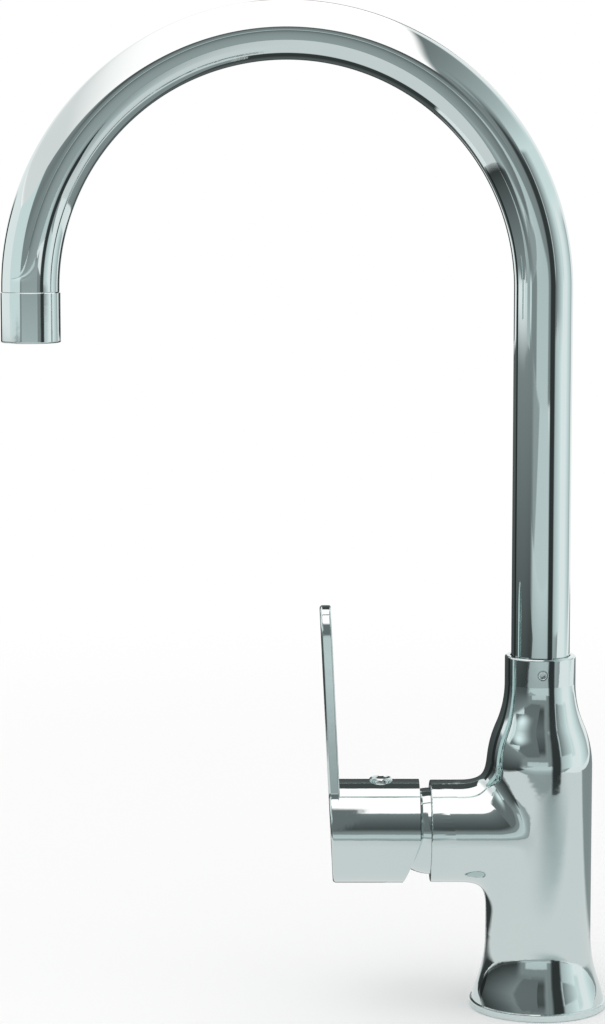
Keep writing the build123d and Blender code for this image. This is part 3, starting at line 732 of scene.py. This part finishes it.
@dataclass
class BodyCasting(SubAssembly):
    """The casting with its foot, column, collar and arm, its seal, its grub screw and its threads."""

    nodes: tuple[str, ...] = ("mixer_body", "base_seal", "collar_screw")
    blend: ArmBlend = field(default_factory=ArmBlend)
    hose_pitch: float = 1.0 * MILLIMETRE
    stud_pitch: float = 1.25 * MILLIMETRE
    ridge_share: float = 0.42  # ridge radius as a share of the pitch
    flanks: int = 4  # sides of the ridge's section
    turn_points: int = 40  # in one turn of the ridge
    run_out: float = 1.5 * MILLIMETRE  # plain stretch at each end of a hole
    screw_round: float = 0.5 * MILLIMETRE  # rounded edge of the grub screw's outer end
    screw_round_steps: int = 10
    screw_tip: float = 0.5 * MILLIMETRE  # broken edge of its inner end
    key_half: float = 1.2 * MILLIMETRE  # half the width of its key
    key_flats: int = 6
    key_mouth: Pair = (1.44 * MILLIMETRE, 0.1 * MILLIMETRE)  # radius and depth of the key's broken edge
    key_depth: float = 2.8 * MILLIMETRE

    def make(self) -> list[Object]:
        """Make the blended casting, the rounded screw and the threads.

        Returns:
            The casting, the screw and one piece for each thread.
        """
        pitches = {"hot_inlet": self.hose_pitch, "cold_inlet": self.hose_pitch, "stud_hole": self.stud_pitch}
        ridge = self.thread_tree()
        threads = [self.thread(ridge, name, pitch) for name, pitch in pitches.items()]
        return [self.blended_casting(), self.rounded_screw(), *threads]

    def rounded_screw(self) -> Object:
        """Make the grub screw with a rounded outer end and let it stand for its CAD node.

        Returns:
            The screw.
        """
        low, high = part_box("collar_screw")
        seat = (low + high) / 2
        seat.y = low.y
        profile = self.screw_profile((high.x - low.x) / 2, high.y - low.y)
        screw = self.turned("collar_screw_rounded", profile, seat, axis=(0, -1, 0))
        self.settle(screw, Slot.STEEL)
        return self.mount(screw, Body.CASTING, Slot.STEEL, stands_for="collar_screw")

    def screw_profile(self, radius: float, length: float) -> list[Corner]:
        """Draw half of the grub screw's section, with heights counted from its outer end.

        Args:
            radius: the screw's radius.
            length: the screw's length.

        Returns:
            The corners, from the axis at the inner end to the axis at the bottom of the key.
        """
        bevel, tip = self.screw_round, self.screw_tip
        profile = [Corner(0.0, -length), Corner(radius - tip, -length), Corner(radius, tip - length)]
        for step in range(self.screw_round_steps + 1):
            angle = math.pi / 2 * step / self.screw_round_steps
            profile.append(Corner(radius - bevel * (1 - math.cos(angle)), bevel * (math.sin(angle) - 1)))
        mouth_radius, mouth_depth = self.key_mouth
        return profile + [
            Corner(mouth_radius, 0.0), Corner(self.key_half, -mouth_depth, self.key_flats),
            Corner(self.key_half, -self.key_depth, self.key_flats), Corner(0.0, -self.key_depth),
        ]

    def blended_casting(self) -> Object:
        """Make the casting with its blend and let it stand for its CAD node.

        Returns:
            The casting.
        """
        node = frame["nodes"]["mixer_body"]
        source = node.data.copy()
        source.transform(node.matrix_world)
        shape = bmesh.new()
        shape.from_mesh(source)
        bmesh.ops.remove_doubles(shape, verts=shape.verts, dist=self.merge_distance)
        bmesh.ops.triangulate(shape, faces=shape.faces)
        self.blend.refine(shape)
        self.blend.press(shape)
        casting = self.start("mixer_body_blended")
        shape.to_mesh(casting.data)
        shape.free()
        self.blend.shade(casting.data, source)
        self.coat(casting.data, Slot.CAST_CHROME)
        return self.mount(casting, Body.CASTING, Slot.CAST_CHROME, stands_for="mixer_body")

    def thread_tree(self) -> ShapeTree:
        """Make the tree that winds a ridge up a hole.

        Returns:
            The tree.
        """
        shape = ShapeTree("thread_ridge")
        radius = shape.size("Radius")
        helix = shape.nodes.add(
            "GeometryNodeCurveSpiral",
            {"Resolution": shape.size("Turn Points", "NodeSocketInt"), "Rotations": shape.size("Turns"),
             "Start Radius": radius, "End Radius": radius, "Height": shape.size("Length")},
        )
        section = shape.ring(shape.size("Flanks", "NodeSocketInt"), shape.size("Ridge"))
        ridge = shape.sweep(helix.outputs["Curve"], section, capped=True)
        return shape.close(shape.moved(ridge, "Foot"))

    def thread(self, shape: ShapeTree, name: str, pitch: float) -> Object:
        """Make the internal thread of a hole that the record names as a mount.

        Args:
            shape: the tree that winds the ridge.
            name: the mount's name.
            pitch: the thread's pitch.

        Returns:
            The thread.
        """
        hole = by_name(frame["record"]["mounts"])[name]
        length = hole["dims"]["length_mm"] * MILLIMETRE - 2 * self.run_out
        thread = self.start(name + "_thread")
        shape.apply_to(thread, {
            "Radius": hole["dims"]["r_mm"] * MILLIMETRE, "Turn Points": self.turn_points,
            "Turns": length / pitch, "Length": length, "Flanks": self.flanks,
            "Ridge": pitch * self.ridge_share, "Foot": Vector(hole["pos_m"]) + Vector((0, 0, self.run_out)),
            "Finish": self.palette.materials[Slot.BRASS],
        })
        self.settle(thread, Slot.BRASS)
        return self.mount(thread, Body.CASTING, Slot.BRASS)


@dataclass
class Cartridge(SubAssembly):
    """The ceramic cartridge in the arm, with the nut and the dome over it, all as the CAD makes them."""

    nodes: tuple[str, ...] = (
        "cartridge_base", "port_seals", "fixed_disc", "cartridge_housing", "cartridge_nut", "dome_cover",
        "cartridge_rotor", "stem_pin", "disc_carrier", "moving_disc",
    )


@dataclass
class LeverHandle(SubAssembly):
    """The cap with its blade, the stem, the screw that clamps them and the dished plug over the screw."""

    nodes: tuple[str, ...] = ("lever_handle", "lever_stem", "lever_screw", "lever_plug")
    head_height: float = 1.9 * MILLIMETRE  # of the plug above its seat
    stem_radius: float = 4.0 * MILLIMETRE
    stem_edge: float = 0.12 * MILLIMETRE  # broken edge of the stem's end
    rim: float = 0.45 * MILLIMETRE  # straight edge of the head
    rim_bend: Pair = (0.25 * MILLIMETRE, 1.1 * MILLIMETRE)  # in and up from the rim, where its curve aims
    dish_radius: float = 3.9 * MILLIMETRE
    dish_depth: float = 1.05 * MILLIMETRE
    rim_rings: int = 8
    dish_rings: int = 12

    def make(self) -> list[Object]:
        """Make the plug and let it stand for its CAD node.

        Returns:
            The plug alone.
        """
        low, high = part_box("lever_plug")
        seat = (low + high) / 2
        seat.z = high.z - self.head_height
        profile = self.plug_profile((high.x - low.x) / 2, low.z - seat.z)
        plug = self.turned("lever_plug_dished", profile, seat)
        self.settle(plug, Slot.CAST_CHROME)
        return [self.mount(plug, Body.LEVER, Slot.CAST_CHROME, stands_for="lever_plug")]

    def plug_profile(self, head: float, foot: float) -> list[Corner]:
        """Draw half of the plug's section.

        Args:
            head: the radius of the head.
            foot: the height of the stem's end, counted from the seat.

        Returns:
            The corners, from the axis at the stem's end to the axis in the dish.
        """
        stem, edge = self.stem_radius, self.stem_edge
        spots = [(0.0, foot), (stem - edge, foot), (stem, foot + edge), (stem, 0.0), (head, 0.0)]
        brim = Vector((head, self.rim))
        aim = brim + Vector((-self.rim_bend[0], self.rim_bend[1]))
        crest = Vector((self.dish_radius, self.head_height))
        for ring in range(self.rim_rings + 1):
            share = ring / self.rim_rings
            spots.append(brim.lerp(aim, share).lerp(aim.lerp(crest, share), share))
        for ring in range(1, self.dish_rings + 1):
            share = 1 - ring / self.dish_rings
            spots.append((self.dish_radius * share, self.head_height - self.dish_depth * (1 - share ** 2)))
        return [Corner(*spot) for spot in spots]


@dataclass
class SpoutNeck(SubAssembly):
    """The bent spout tube, swept along riser, bend and outlet end, with the tail that turns in the body."""

    nodes: tuple[str, ...] = ("spout_tube", "spout_tail", "glide_rings", "spout_o_rings", "spout_nose")
    wall: float = 1.0 * MILLIMETRE
    edge: float = 0.2 * MILLIMETRE  # broken edges of the tube's ends
    edge_segments: int = 2
    edge_angle: float = math.radians(60.0)  # edges that turn by more are broken
    rise_steps: int = 40
    bend_steps: int = 180
    ring_points: int = 96

    def path(self) -> tuple[list[Point], float]:
        """Work out the tube's centre line from the node's box.

        Returns:
            The points of the centre line, and the tube's radius.
        """
        low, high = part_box("spout_tube")
        radius = (high.y - low.y) / 2
        bend_radius = (high.x - low.x) / 2 - radius
        centre = Vector(((low.x + high.x) / 2, 0.0, high.z - radius - bend_radius))
        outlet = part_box("aerator_shell")[1].z
        rise = centre.z - low.z
        points = [(centre.x + bend_radius, 0.0, low.z + rise * step / self.rise_steps)
                  for step in range(self.rise_steps)]
        for step in range(self.bend_steps + 1):
            angle = math.pi * step / self.bend_steps
            points.append((centre.x + bend_radius * math.cos(angle), 0.0,
                           centre.z + bend_radius * math.sin(angle)))
        points.append((centre.x - bend_radius, 0.0, outlet))
        return points, radius

    def tube_tree(self) -> ShapeTree:
        """Make the tree that sweeps a ring along a line.

        Returns:
            The tree.
        """
        shape = ShapeTree("swept_tube")
        line = shape.nodes.add("GeometryNodeMeshToCurve", {"Mesh": shape.entry.outputs["Geometry"]})
        ring = shape.ring(shape.size("Ring Points", "NodeSocketInt"), shape.size("Radius"))
        return shape.close(shape.sweep(line.outputs["Curve"], ring, capped=False))

    def make(self) -> list[Object]:
        """Make the tube and let it stand for its CAD node.

        Returns:
            The tube alone.
        """
        points, radius = self.path()
        tube = self.start("spout_tube_swept", points)
        self.tube_tree().apply_to(tube, {
            "Radius": radius, "Ring Points": self.ring_points,
            "Finish": self.palette.materials[Slot.TUBE_CHROME],
        })
        thickness = tube.modifiers.new("wall", "SOLIDIFY")
        thickness.thickness = self.wall
        thickness.offset = -1.0  # inwards
        broken = tube.modifiers.new("broken_edges", "BEVEL")
        broken.width = self.edge
        broken.segments = self.edge_segments
        broken.angle_limit = self.edge_angle
        self.settle(tube, Slot.TUBE_CHROME)
        return [self.mount(tube, Body.SPOUT, Slot.TUBE_CHROME, stands_for="spout_tube")]


@dataclass
class Aerator(SubAssembly):
    """The aerator at the outlet, with the fine wire disc that lies on the cells of its screen."""

    nodes: tuple[str, ...] = ("aerator_shell", "aerator_washer", "aerator_core", "aerator_screen")
    wires: int = 22  # in each layer
    wire_pitch: float = 0.75 * MILLIMETRE
    wire_radius: float = 0.11 * MILLIMETRE
    wire_sides: int = 6
    disc_radius: float = 8.45 * MILLIMETRE

    def disc_tree(self) -> ShapeTree:
        """Make the tree that lays two layers of straight wires across a round disc.

        Returns:
            The tree.
        """
        shape = ShapeTree("wire_disc")
        nodes = shape.nodes
        radius, outermost = shape.size("Radius"), shape.size("Outermost")
        left = nodes.add("ShaderNodeCombineXYZ", {"X": nodes.math("MULTIPLY", outermost, -1.0)})
        right = nodes.add("ShaderNodeCombineXYZ", {"X": outermost})
        row = nodes.add(
            "GeometryNodeMeshLine",
            {"Count": shape.size("Wires", "NodeSocketInt"), "Start Location": left.outputs["Vector"],
             "Offset": right.outputs["Vector"]},
            mode="END_POINTS",
        )
        spot = nodes.add("GeometryNodeInputPosition").outputs["Position"]
        aside = nodes.add("ShaderNodeSeparateXYZ", {"Vector": spot}).outputs["X"]
        squares = [nodes.math("POWER", length, 2.0) for length in (radius, aside)]
        reach = nodes.math("SQRT", nodes.math("SUBTRACT", *squares))
        stretch = nodes.add("ShaderNodeCombineXYZ", {"X": 1.0, "Y": reach, "Z": 1.0})
        wire = nodes.add("GeometryNodeCurvePrimitiveLine", {"Start": (0, -1, 0), "End": (0, 1, 0)})
        laid = nodes.add(
            "GeometryNodeInstanceOnPoints",
            {"Points": row.outputs["Mesh"], "Instance": wire.outputs["Curve"],
             "Scale": stretch.outputs["Vector"]},
        )
        lines = nodes.add("GeometryNodeRealizeInstances", {"Geometry": laid.outputs["Instances"]})
        section = shape.ring(shape.size("Wire Sides", "NodeSocketInt"), shape.size("Wire Radius"))
        layer = shape.sweep(lines.outputs["Geometry"], section, capped=True)
        crossing = nodes.add(
            "GeometryNodeTransform",
            {"Geometry": layer, "Rotation": (0.0, 0.0, math.pi / 2),
             "Translation": shape.size("Layer Step", "NodeSocketVector")},
        )
        both = nodes.add("GeometryNodeJoinGeometry", {"Geometry": layer})
        shape.tree.links.new(crossing.outputs["Geometry"], both.inputs["Geometry"])
        return shape.close(shape.moved(both.outputs["Geometry"], "Centre"))

    def make(self) -> list[Object]:
        """Make the wire disc on the screen.

        Returns:
            The disc alone.
        """
        low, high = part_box("aerator_screen")
        centre = (low + high) / 2
        centre.z = high.z + self.wire_radius
        disc = self.start("aerator_wires")
        self.disc_tree().apply_to(disc, {
            "Radius": self.disc_radius, "Outermost": self.wire_pitch * (self.wires - 1) / 2,
            "Wires": self.wires, "Wire Sides": self.wire_sides, "Wire Radius": self.wire_radius,
            "Layer Step": Vector((0, 0, 2 * self.wire_radius)), "Centre": centre,
            "Finish": self.palette.materials[Slot.STEEL],
        })
        self.settle(disc, Slot.STEEL)
        return [self.mount(disc, Body.SPOUT, Slot.STEEL)]


@dataclass(frozen=True)
class Card:
    """A flat panel of the studio that only reflections see."""

    name: str
    corner: Point
    across: Point
    upwards: Point
    tone: Pair  # light where the upwards side starts and where it ends
    feather: Pair  # share of the across and the upwards side over which the card fades out
    tint: Colour = COOL

    def material(self) -> Material:
        """Make the card's plain glow, which fades out along its edges.

        Returns:
            A node material that reads the card's own UV map.
        """
        made, nodes = Nodes.of_material(self.name)
        spot = nodes.add("ShaderNodeUVMap", uv_map="card")
        split = nodes.add("ShaderNodeSeparateXYZ", {"Vector": spot.outputs["UV"]}).outputs
        fades = []
        for axis, feather in zip(("X", "Y"), self.feather):
            edge = nodes.math("MINIMUM", split[axis], nodes.math("SUBTRACT", 1.0, split[axis]))
            fades.append(nodes.fade(edge, 0.0, feather))
        cover = nodes.math("MULTIPLY", *fades)
        tone = nodes.ramp(split["Y"], *self.tone)
        glow = nodes.add("ShaderNodeEmission", {"Color": opaque(self.tint), "Strength": tone})
        clear = nodes.add("ShaderNodeBsdfTransparent")
        nodes.show(cover, clear.outputs["BSDF"], glow.outputs["Emission"])
        return made

    def hang(self) -> None:
        """Make the card, hang it in the studio and hide it from every ray but glossy ones."""
        start, across, upwards = Vector(self.corner), Vector(self.across), Vector(self.upwards)
        mesh = bpy.data.meshes.new(self.name)
        corners = [start, start + across, start + across + upwards, start + upwards]
        mesh.from_pydata(corners, [], [(0, 1, 2, 3)])
        layer = mesh.uv_layers.new(name="card")
        for spot, value in zip(layer.data, ((0, 0), (1, 0), (1, 1), (0, 1))):
            spot.uv = value
        mesh.materials.append(self.material())
        card = placed(self.name, mesh)
        for ray in ("camera", "diffuse", "shadow", "transmission", "volume_scatter"):
            setattr(card, "visible_" + ray, False)


@dataclass
class Studio:
    """The pale floor, the white surroundings with their cards, the soft lamp and the camera."""

    photo_height: int = 1024  # pixels
    focal_length: float = 3040.0  # in pixels of the photograph
    aim: Point = (-0.0975, 0.0, 0.2059)  # where camera and lamp point
    distance: float = 1.24  # of the camera from there
    pitch: float = math.radians(6.57)  # by which the camera looks down
    floor_half: float = 9.0
    floor_tone: float = 0.9
    fade_start: float = 0.35  # distances from the tap between which the floor turns plain white
    fade_end: float = 1.1
    lamp_power: float = 4.0
    lamp_size: float = 1.3
    lamp_place: Point = (-0.5, -0.5, 1.7)

    def cards(self) -> list[Card]:
        """Return every card around the tap."""
        return [*self.overhead(), *self.front(), *self.right(), *self.ground(), *self.left()]

    def overhead(self) -> list[Card]:
        """Describe the softbox over the tap, which the top of the bend shows.

        Returns:
            The softbox and a veil under its left part.
        """
        return [
            Card("overhead_box", (-0.85, -0.33, 0.452), (0, 0.75, 0.14), (0.87, 0, 0),
                 (1.36, 1.36), (0.02, 0.02), WARM),
            Card("overhead_veil", (-0.90, -0.34, 0.448), (0, 0.77, 0.144), (0.70, 0, 0),
                 (0.88, 0.88), (0.01, 0.26), PALE_WARM),
        ]

    def front(self) -> list[Card]:
        """Describe what the tap's front shows above the ground.

        Returns:
            The wall behind the camera with its patches, the level plate below the bend with its glow and
            covers, and the shade before the outlet.
        """
        return [
            Card("front_wall", (-4.2, -3.05, -0.1), (7.0, 0, 0), (0, 0, 4.2), (0.30, 0.32), (0.03, 0.03)),
            Card("front_low", (-1.9, -3.03, -0.25), (2.9, 0, 0), (0, 0, 0.55), (0.74, 0.64), (0.12, 0.12)),
            Card("front_high", (-1.05, -3.0, 0.42), (1.77, 0, 0), (0, 0, 3.3), (0.05, 0.28), (0.22, 0.16)),
            Card("front_left", (-4.0, -3.01, 0.40), (3.5, 0, 0), (0, 0, 3.2), (0.20, 0.55), (0.16, 0.12)),
            Card("front_right", (0.80, -3.02, -0.3), (2.2, 0.5, 0), (0, 0, 3.9), (0.30, 0.24), (0.08, 0.08)),
            Card("front_plate", (-0.75, -1.30, 0.30), (0.685, 0, 0), (0, 1.18, 0),
                 (0.18, 0.20), (0.01, 0.03)),
            Card("plate_glow", (-0.60, -0.46, 0.2985), (0.48, 0, 0), (0, 0.44, 0), (1.1, 1.1), (0.5, 0.5)),
            Card("plate_cover", (-0.42, -0.80, 0.3003), (0.355, 0, 0), (0, 0.68, 0),
                 (0.20, 0.42), (0.12, 0.01)),
            Card("plate_white", (-0.75, -0.80, 0.3006), (0.44, 0, 0), (0, 0.68, 0),
                 (0.88, 0.88), (0.08, 0.01)),
            Card("outlet_shade", (-0.262, -0.10, 0.262), (0.114, 0, 0), (0, 0, 0.038),
                 (0.60, 0.40), (0.04, 0.01)),
        ]

    def right(self) -> list[Card]:
        """Describe what the tap's right side shows.

        Returns:
            The dark stripe, the soft grey beside it, and the far side and ceiling.
        """
        return [
            Card("right_dark", (0.15, -0.42, -0.30), (0.20, 0.08, 0), (0, 0, 1.0),
                 (0.03, 0.06), (0.24, 0.24)),
            Card("right_low", (0.607, -0.866, -0.03), (0, 0, 0.26), (0.404, 0.557, 0),
                 (0.40, 1.0), (0.06, 0.03)),
            Card("right_high", (0.743, -0.744, 0.20), (0, 0, 1.1), (0.27, 0.529, 0),
                 (0.20, 0.95), (0.04, 0.04)),
            Card("right_far", (1.6, -2.6, 0.20), (1.6, 2.4, 0), (0, 0, 1.6), (0.85, 0.90), (0.15, 0.10)),
            Card("right_rear", (0.75, 0.10, -0.05), (0, 0, 0.6), (0.10, 0.75, 0), (1.0, 0.40), (0.15, 0.05)),
            Card("right_ceiling", (0.06, -1.0, 0.75), (0, 1.35, 0), (0.70, 0, 0), (0.12, 0.95), (0.08, 0.08)),
            Card("right_grey", (1.05, -1.0, 0.55), (0.1, 2.2, 0), (0, 0, 1.3), (0.95, 0.75), (0.12, 0.12)),
        ]

    def ground(self) -> list[Card]:
        """Describe what the tap shows of the ground.

        Returns:
            The white paper under the tap and the darker ground around it.
        """
        return [
            Card("paper", (-0.56, -0.46, 0.0025), (1.10, 0, 0), (0, 0.58, 0),
                 (0.80, 0.80), (0.03, 0.03), WHITE),
            Card("apron_front", (-1.9, -3.05, 0.001), (2.9, 0, 0), (0, 2.0, 0), (0.72, 0.72), (0.03, 0.03)),
            Card("apron_near", (-1.9, -1.25, 0.002), (2.9, 0, 0), (0, 0.85, 0), (0.78, 0.34), (0.05, 0.04)),
            Card("apron_column", (-0.14, -0.50, 0.0045), (0.60, 0, 0), (0, 0.36, 0),
                 (0.32, 0.66), (0.50, 0.25)),
            Card("apron_wide", (-4.2, -3.05, 0.0015), (3.45, 0, 0), (0, 2.25, 0), (0.40, 0.40), (0.05, 0.03)),
            Card("apron_left", (-1.2, -0.82, 0.003), (0.655, 0, 0), (0, 0.36, 0), (0.12, 0.12), (0.05, 0.05)),
            Card("apron_far_left", (-3.5, -0.46, 0.003), (2.83, 0, 0), (0, 1.06, 0),
                 (0.20, 0.20), (0.01, 0.03)),
            Card("apron_rear", (-0.34, 0.06, 0.004), (0.30, 0, 0), (0, 1.1, 0), (0.045, 0.08), (0.05, 0.03)),
            Card("apron_rear_right", (-0.06, 0.07, 0.004), (0.62, 0, 0), (0, 1.1, 0),
                 (0.34, 0.2), (0.04, 0.04)),
        ]

    def left(self) -> list[Card]:
        """Describe what the tap's left side shows.

        Returns:
            The flags on the left and behind, and the white panel that the outlet shows.
        """
        return [
            Card("left_flag", (-0.54, -0.76, -0.02), (0, 1.44, 0), (0, 0, 0.29), (0.0, 0.34), (0.22, 0.16)),
            Card("left_rear_wing", (-0.535, 0.28, -0.02), (0, 0.26, 0), (0, 0, 0.46),
                 (0.02, 0.05), (0.10, 0.10)),
            Card("left_white", (-0.47, -0.40, 0.235), (-0.35, 0.30, 0), (0, 0, 0.30),
                 (0.88, 0.88), (0.06, 0.10)),
            Card("left_rear_flag", (-0.27, 0.22, -0.01), (0.254, 0, 0), (0, 0, 0.272),
                 (0.03, 0.14), (0.03, 0.03)),
            Card("rear_high_flag", (-0.13, 0.22, 0.25), (0.14, 0, 0), (0, 0, 0.25),
                 (0.08, 0.08), (0.06, 0.06)),
        ]

    def lay_floor(self) -> None:
        """Lay the pale floor, which keeps the shadow near the tap and is plain white far from it."""
        half = self.floor_half
        corners = [(-half, -half, 0), (half, -half, 0), (half, half, 0), (-half, half, 0)]
        mesh = bpy.data.meshes.new("floor")
        mesh.from_pydata(corners, [], [(0, 1, 2, 3)])
        made, nodes = Nodes.of_material("pale_floor")
        place = nodes.add("ShaderNodeTexCoord").outputs["Object"]
        reach = nodes.add("ShaderNodeVectorMath", {0: place}, operation="LENGTH")
        far = nodes.fade(reach.outputs["Value"], self.fade_start, self.fade_end)
        share = nodes.math("MULTIPLY", far, self.seen_rays(nodes))
        lit = nodes.add("ShaderNodeBsdfDiffuse", {"Color": opaque((self.floor_tone,) * 3)})
        white = nodes.add("ShaderNodeEmission", {"Color": opaque(WHITE)})
        nodes.show(share, lit.outputs["BSDF"], white.outputs["Emission"])
        mesh.materials.append(made)
        placed("floor", mesh)

    @staticmethod
    def seen_rays(nodes: Nodes) -> NodeSocket:
        """Tell the rays that show the background from those that only light the tap.

        Args:
            nodes: the material's nodes.

        Returns:
            A socket that is 1 for a camera, glossy or transmission ray and 0 for any other.
        """
        path = nodes.add("ShaderNodeLightPath").outputs
        metal = nodes.math("MAXIMUM", path["Is Glossy Ray"], path["Is Transmission Ray"])
        return nodes.math("MAXIMUM", path["Is Camera Ray"], metal)

    def light(self) -> None:
        """Make the white surroundings and hang the soft lamp."""
        world = bpy.data.worlds.new("white_surroundings")
        world.use_nodes = True
        nodes = Nodes(world.node_tree)
        glow = nodes.add("ShaderNodeBackground", {"Color": opaque(WHITE)})
        nodes.add("ShaderNodeOutputWorld", {"Surface": glow.outputs["Background"]})
        bpy.context.scene.world = world
        lamp = bpy.data.lights.new("soft_lamp", "AREA")
        lamp.shape = "SQUARE"
        lamp.size = self.lamp_size
        lamp.energy = self.lamp_power
        self.point(lamp, Vector(self.lamp_place))

    def place_camera(self) -> None:
        """Put the camera where the photograph was taken from."""
        camera = bpy.data.cameras.new("photo_camera")
        camera.lens = self.focal_length / self.photo_height * camera.sensor_width
        back = Vector((0.0, -math.cos(self.pitch), math.sin(self.pitch)))
        bpy.context.scene.camera = self.point(camera, Vector(self.aim) + back * self.distance)

    def point(self, device: bpy.types.ID, place: Vector) -> Object:
        """Set up a lamp or a camera and point it at the tap.

        Args:
            device: the lamp or the camera.
            place: where it stands.

        Returns:
            The object that holds it.
        """
        holder = placed(device.name, device)
        holder.location = place
        holder.rotation_mode = "QUATERNION"
        holder.rotation_quaternion = (Vector(self.aim) - place).to_track_quat("-Z", "Y")
        return holder

    def build(self) -> None:
        """Set up the floor, the light, the cards and the camera."""
        bpy.context.scene.view_settings.view_transform = "Standard"
        self.lay_floor()
        self.light()
        for card in self.cards():
            card.hang()
        self.place_camera()


def main() -> None:
    """Build the sub-assemblies and the studio in order and report each piece."""
    logging.basicConfig(level=logging.INFO, format="%(message)s")
    palette = Palette()
    for kind in (BodyCasting, Cartridge, LeverHandle, SpoutNeck, Aerator):
        for piece in kind(palette).build():
            log.info("%s: %s, %d faces", kind.__name__, piece.name, len(piece.data.polygons))
    Studio().build()


if __name__ == "__main__":
    main()
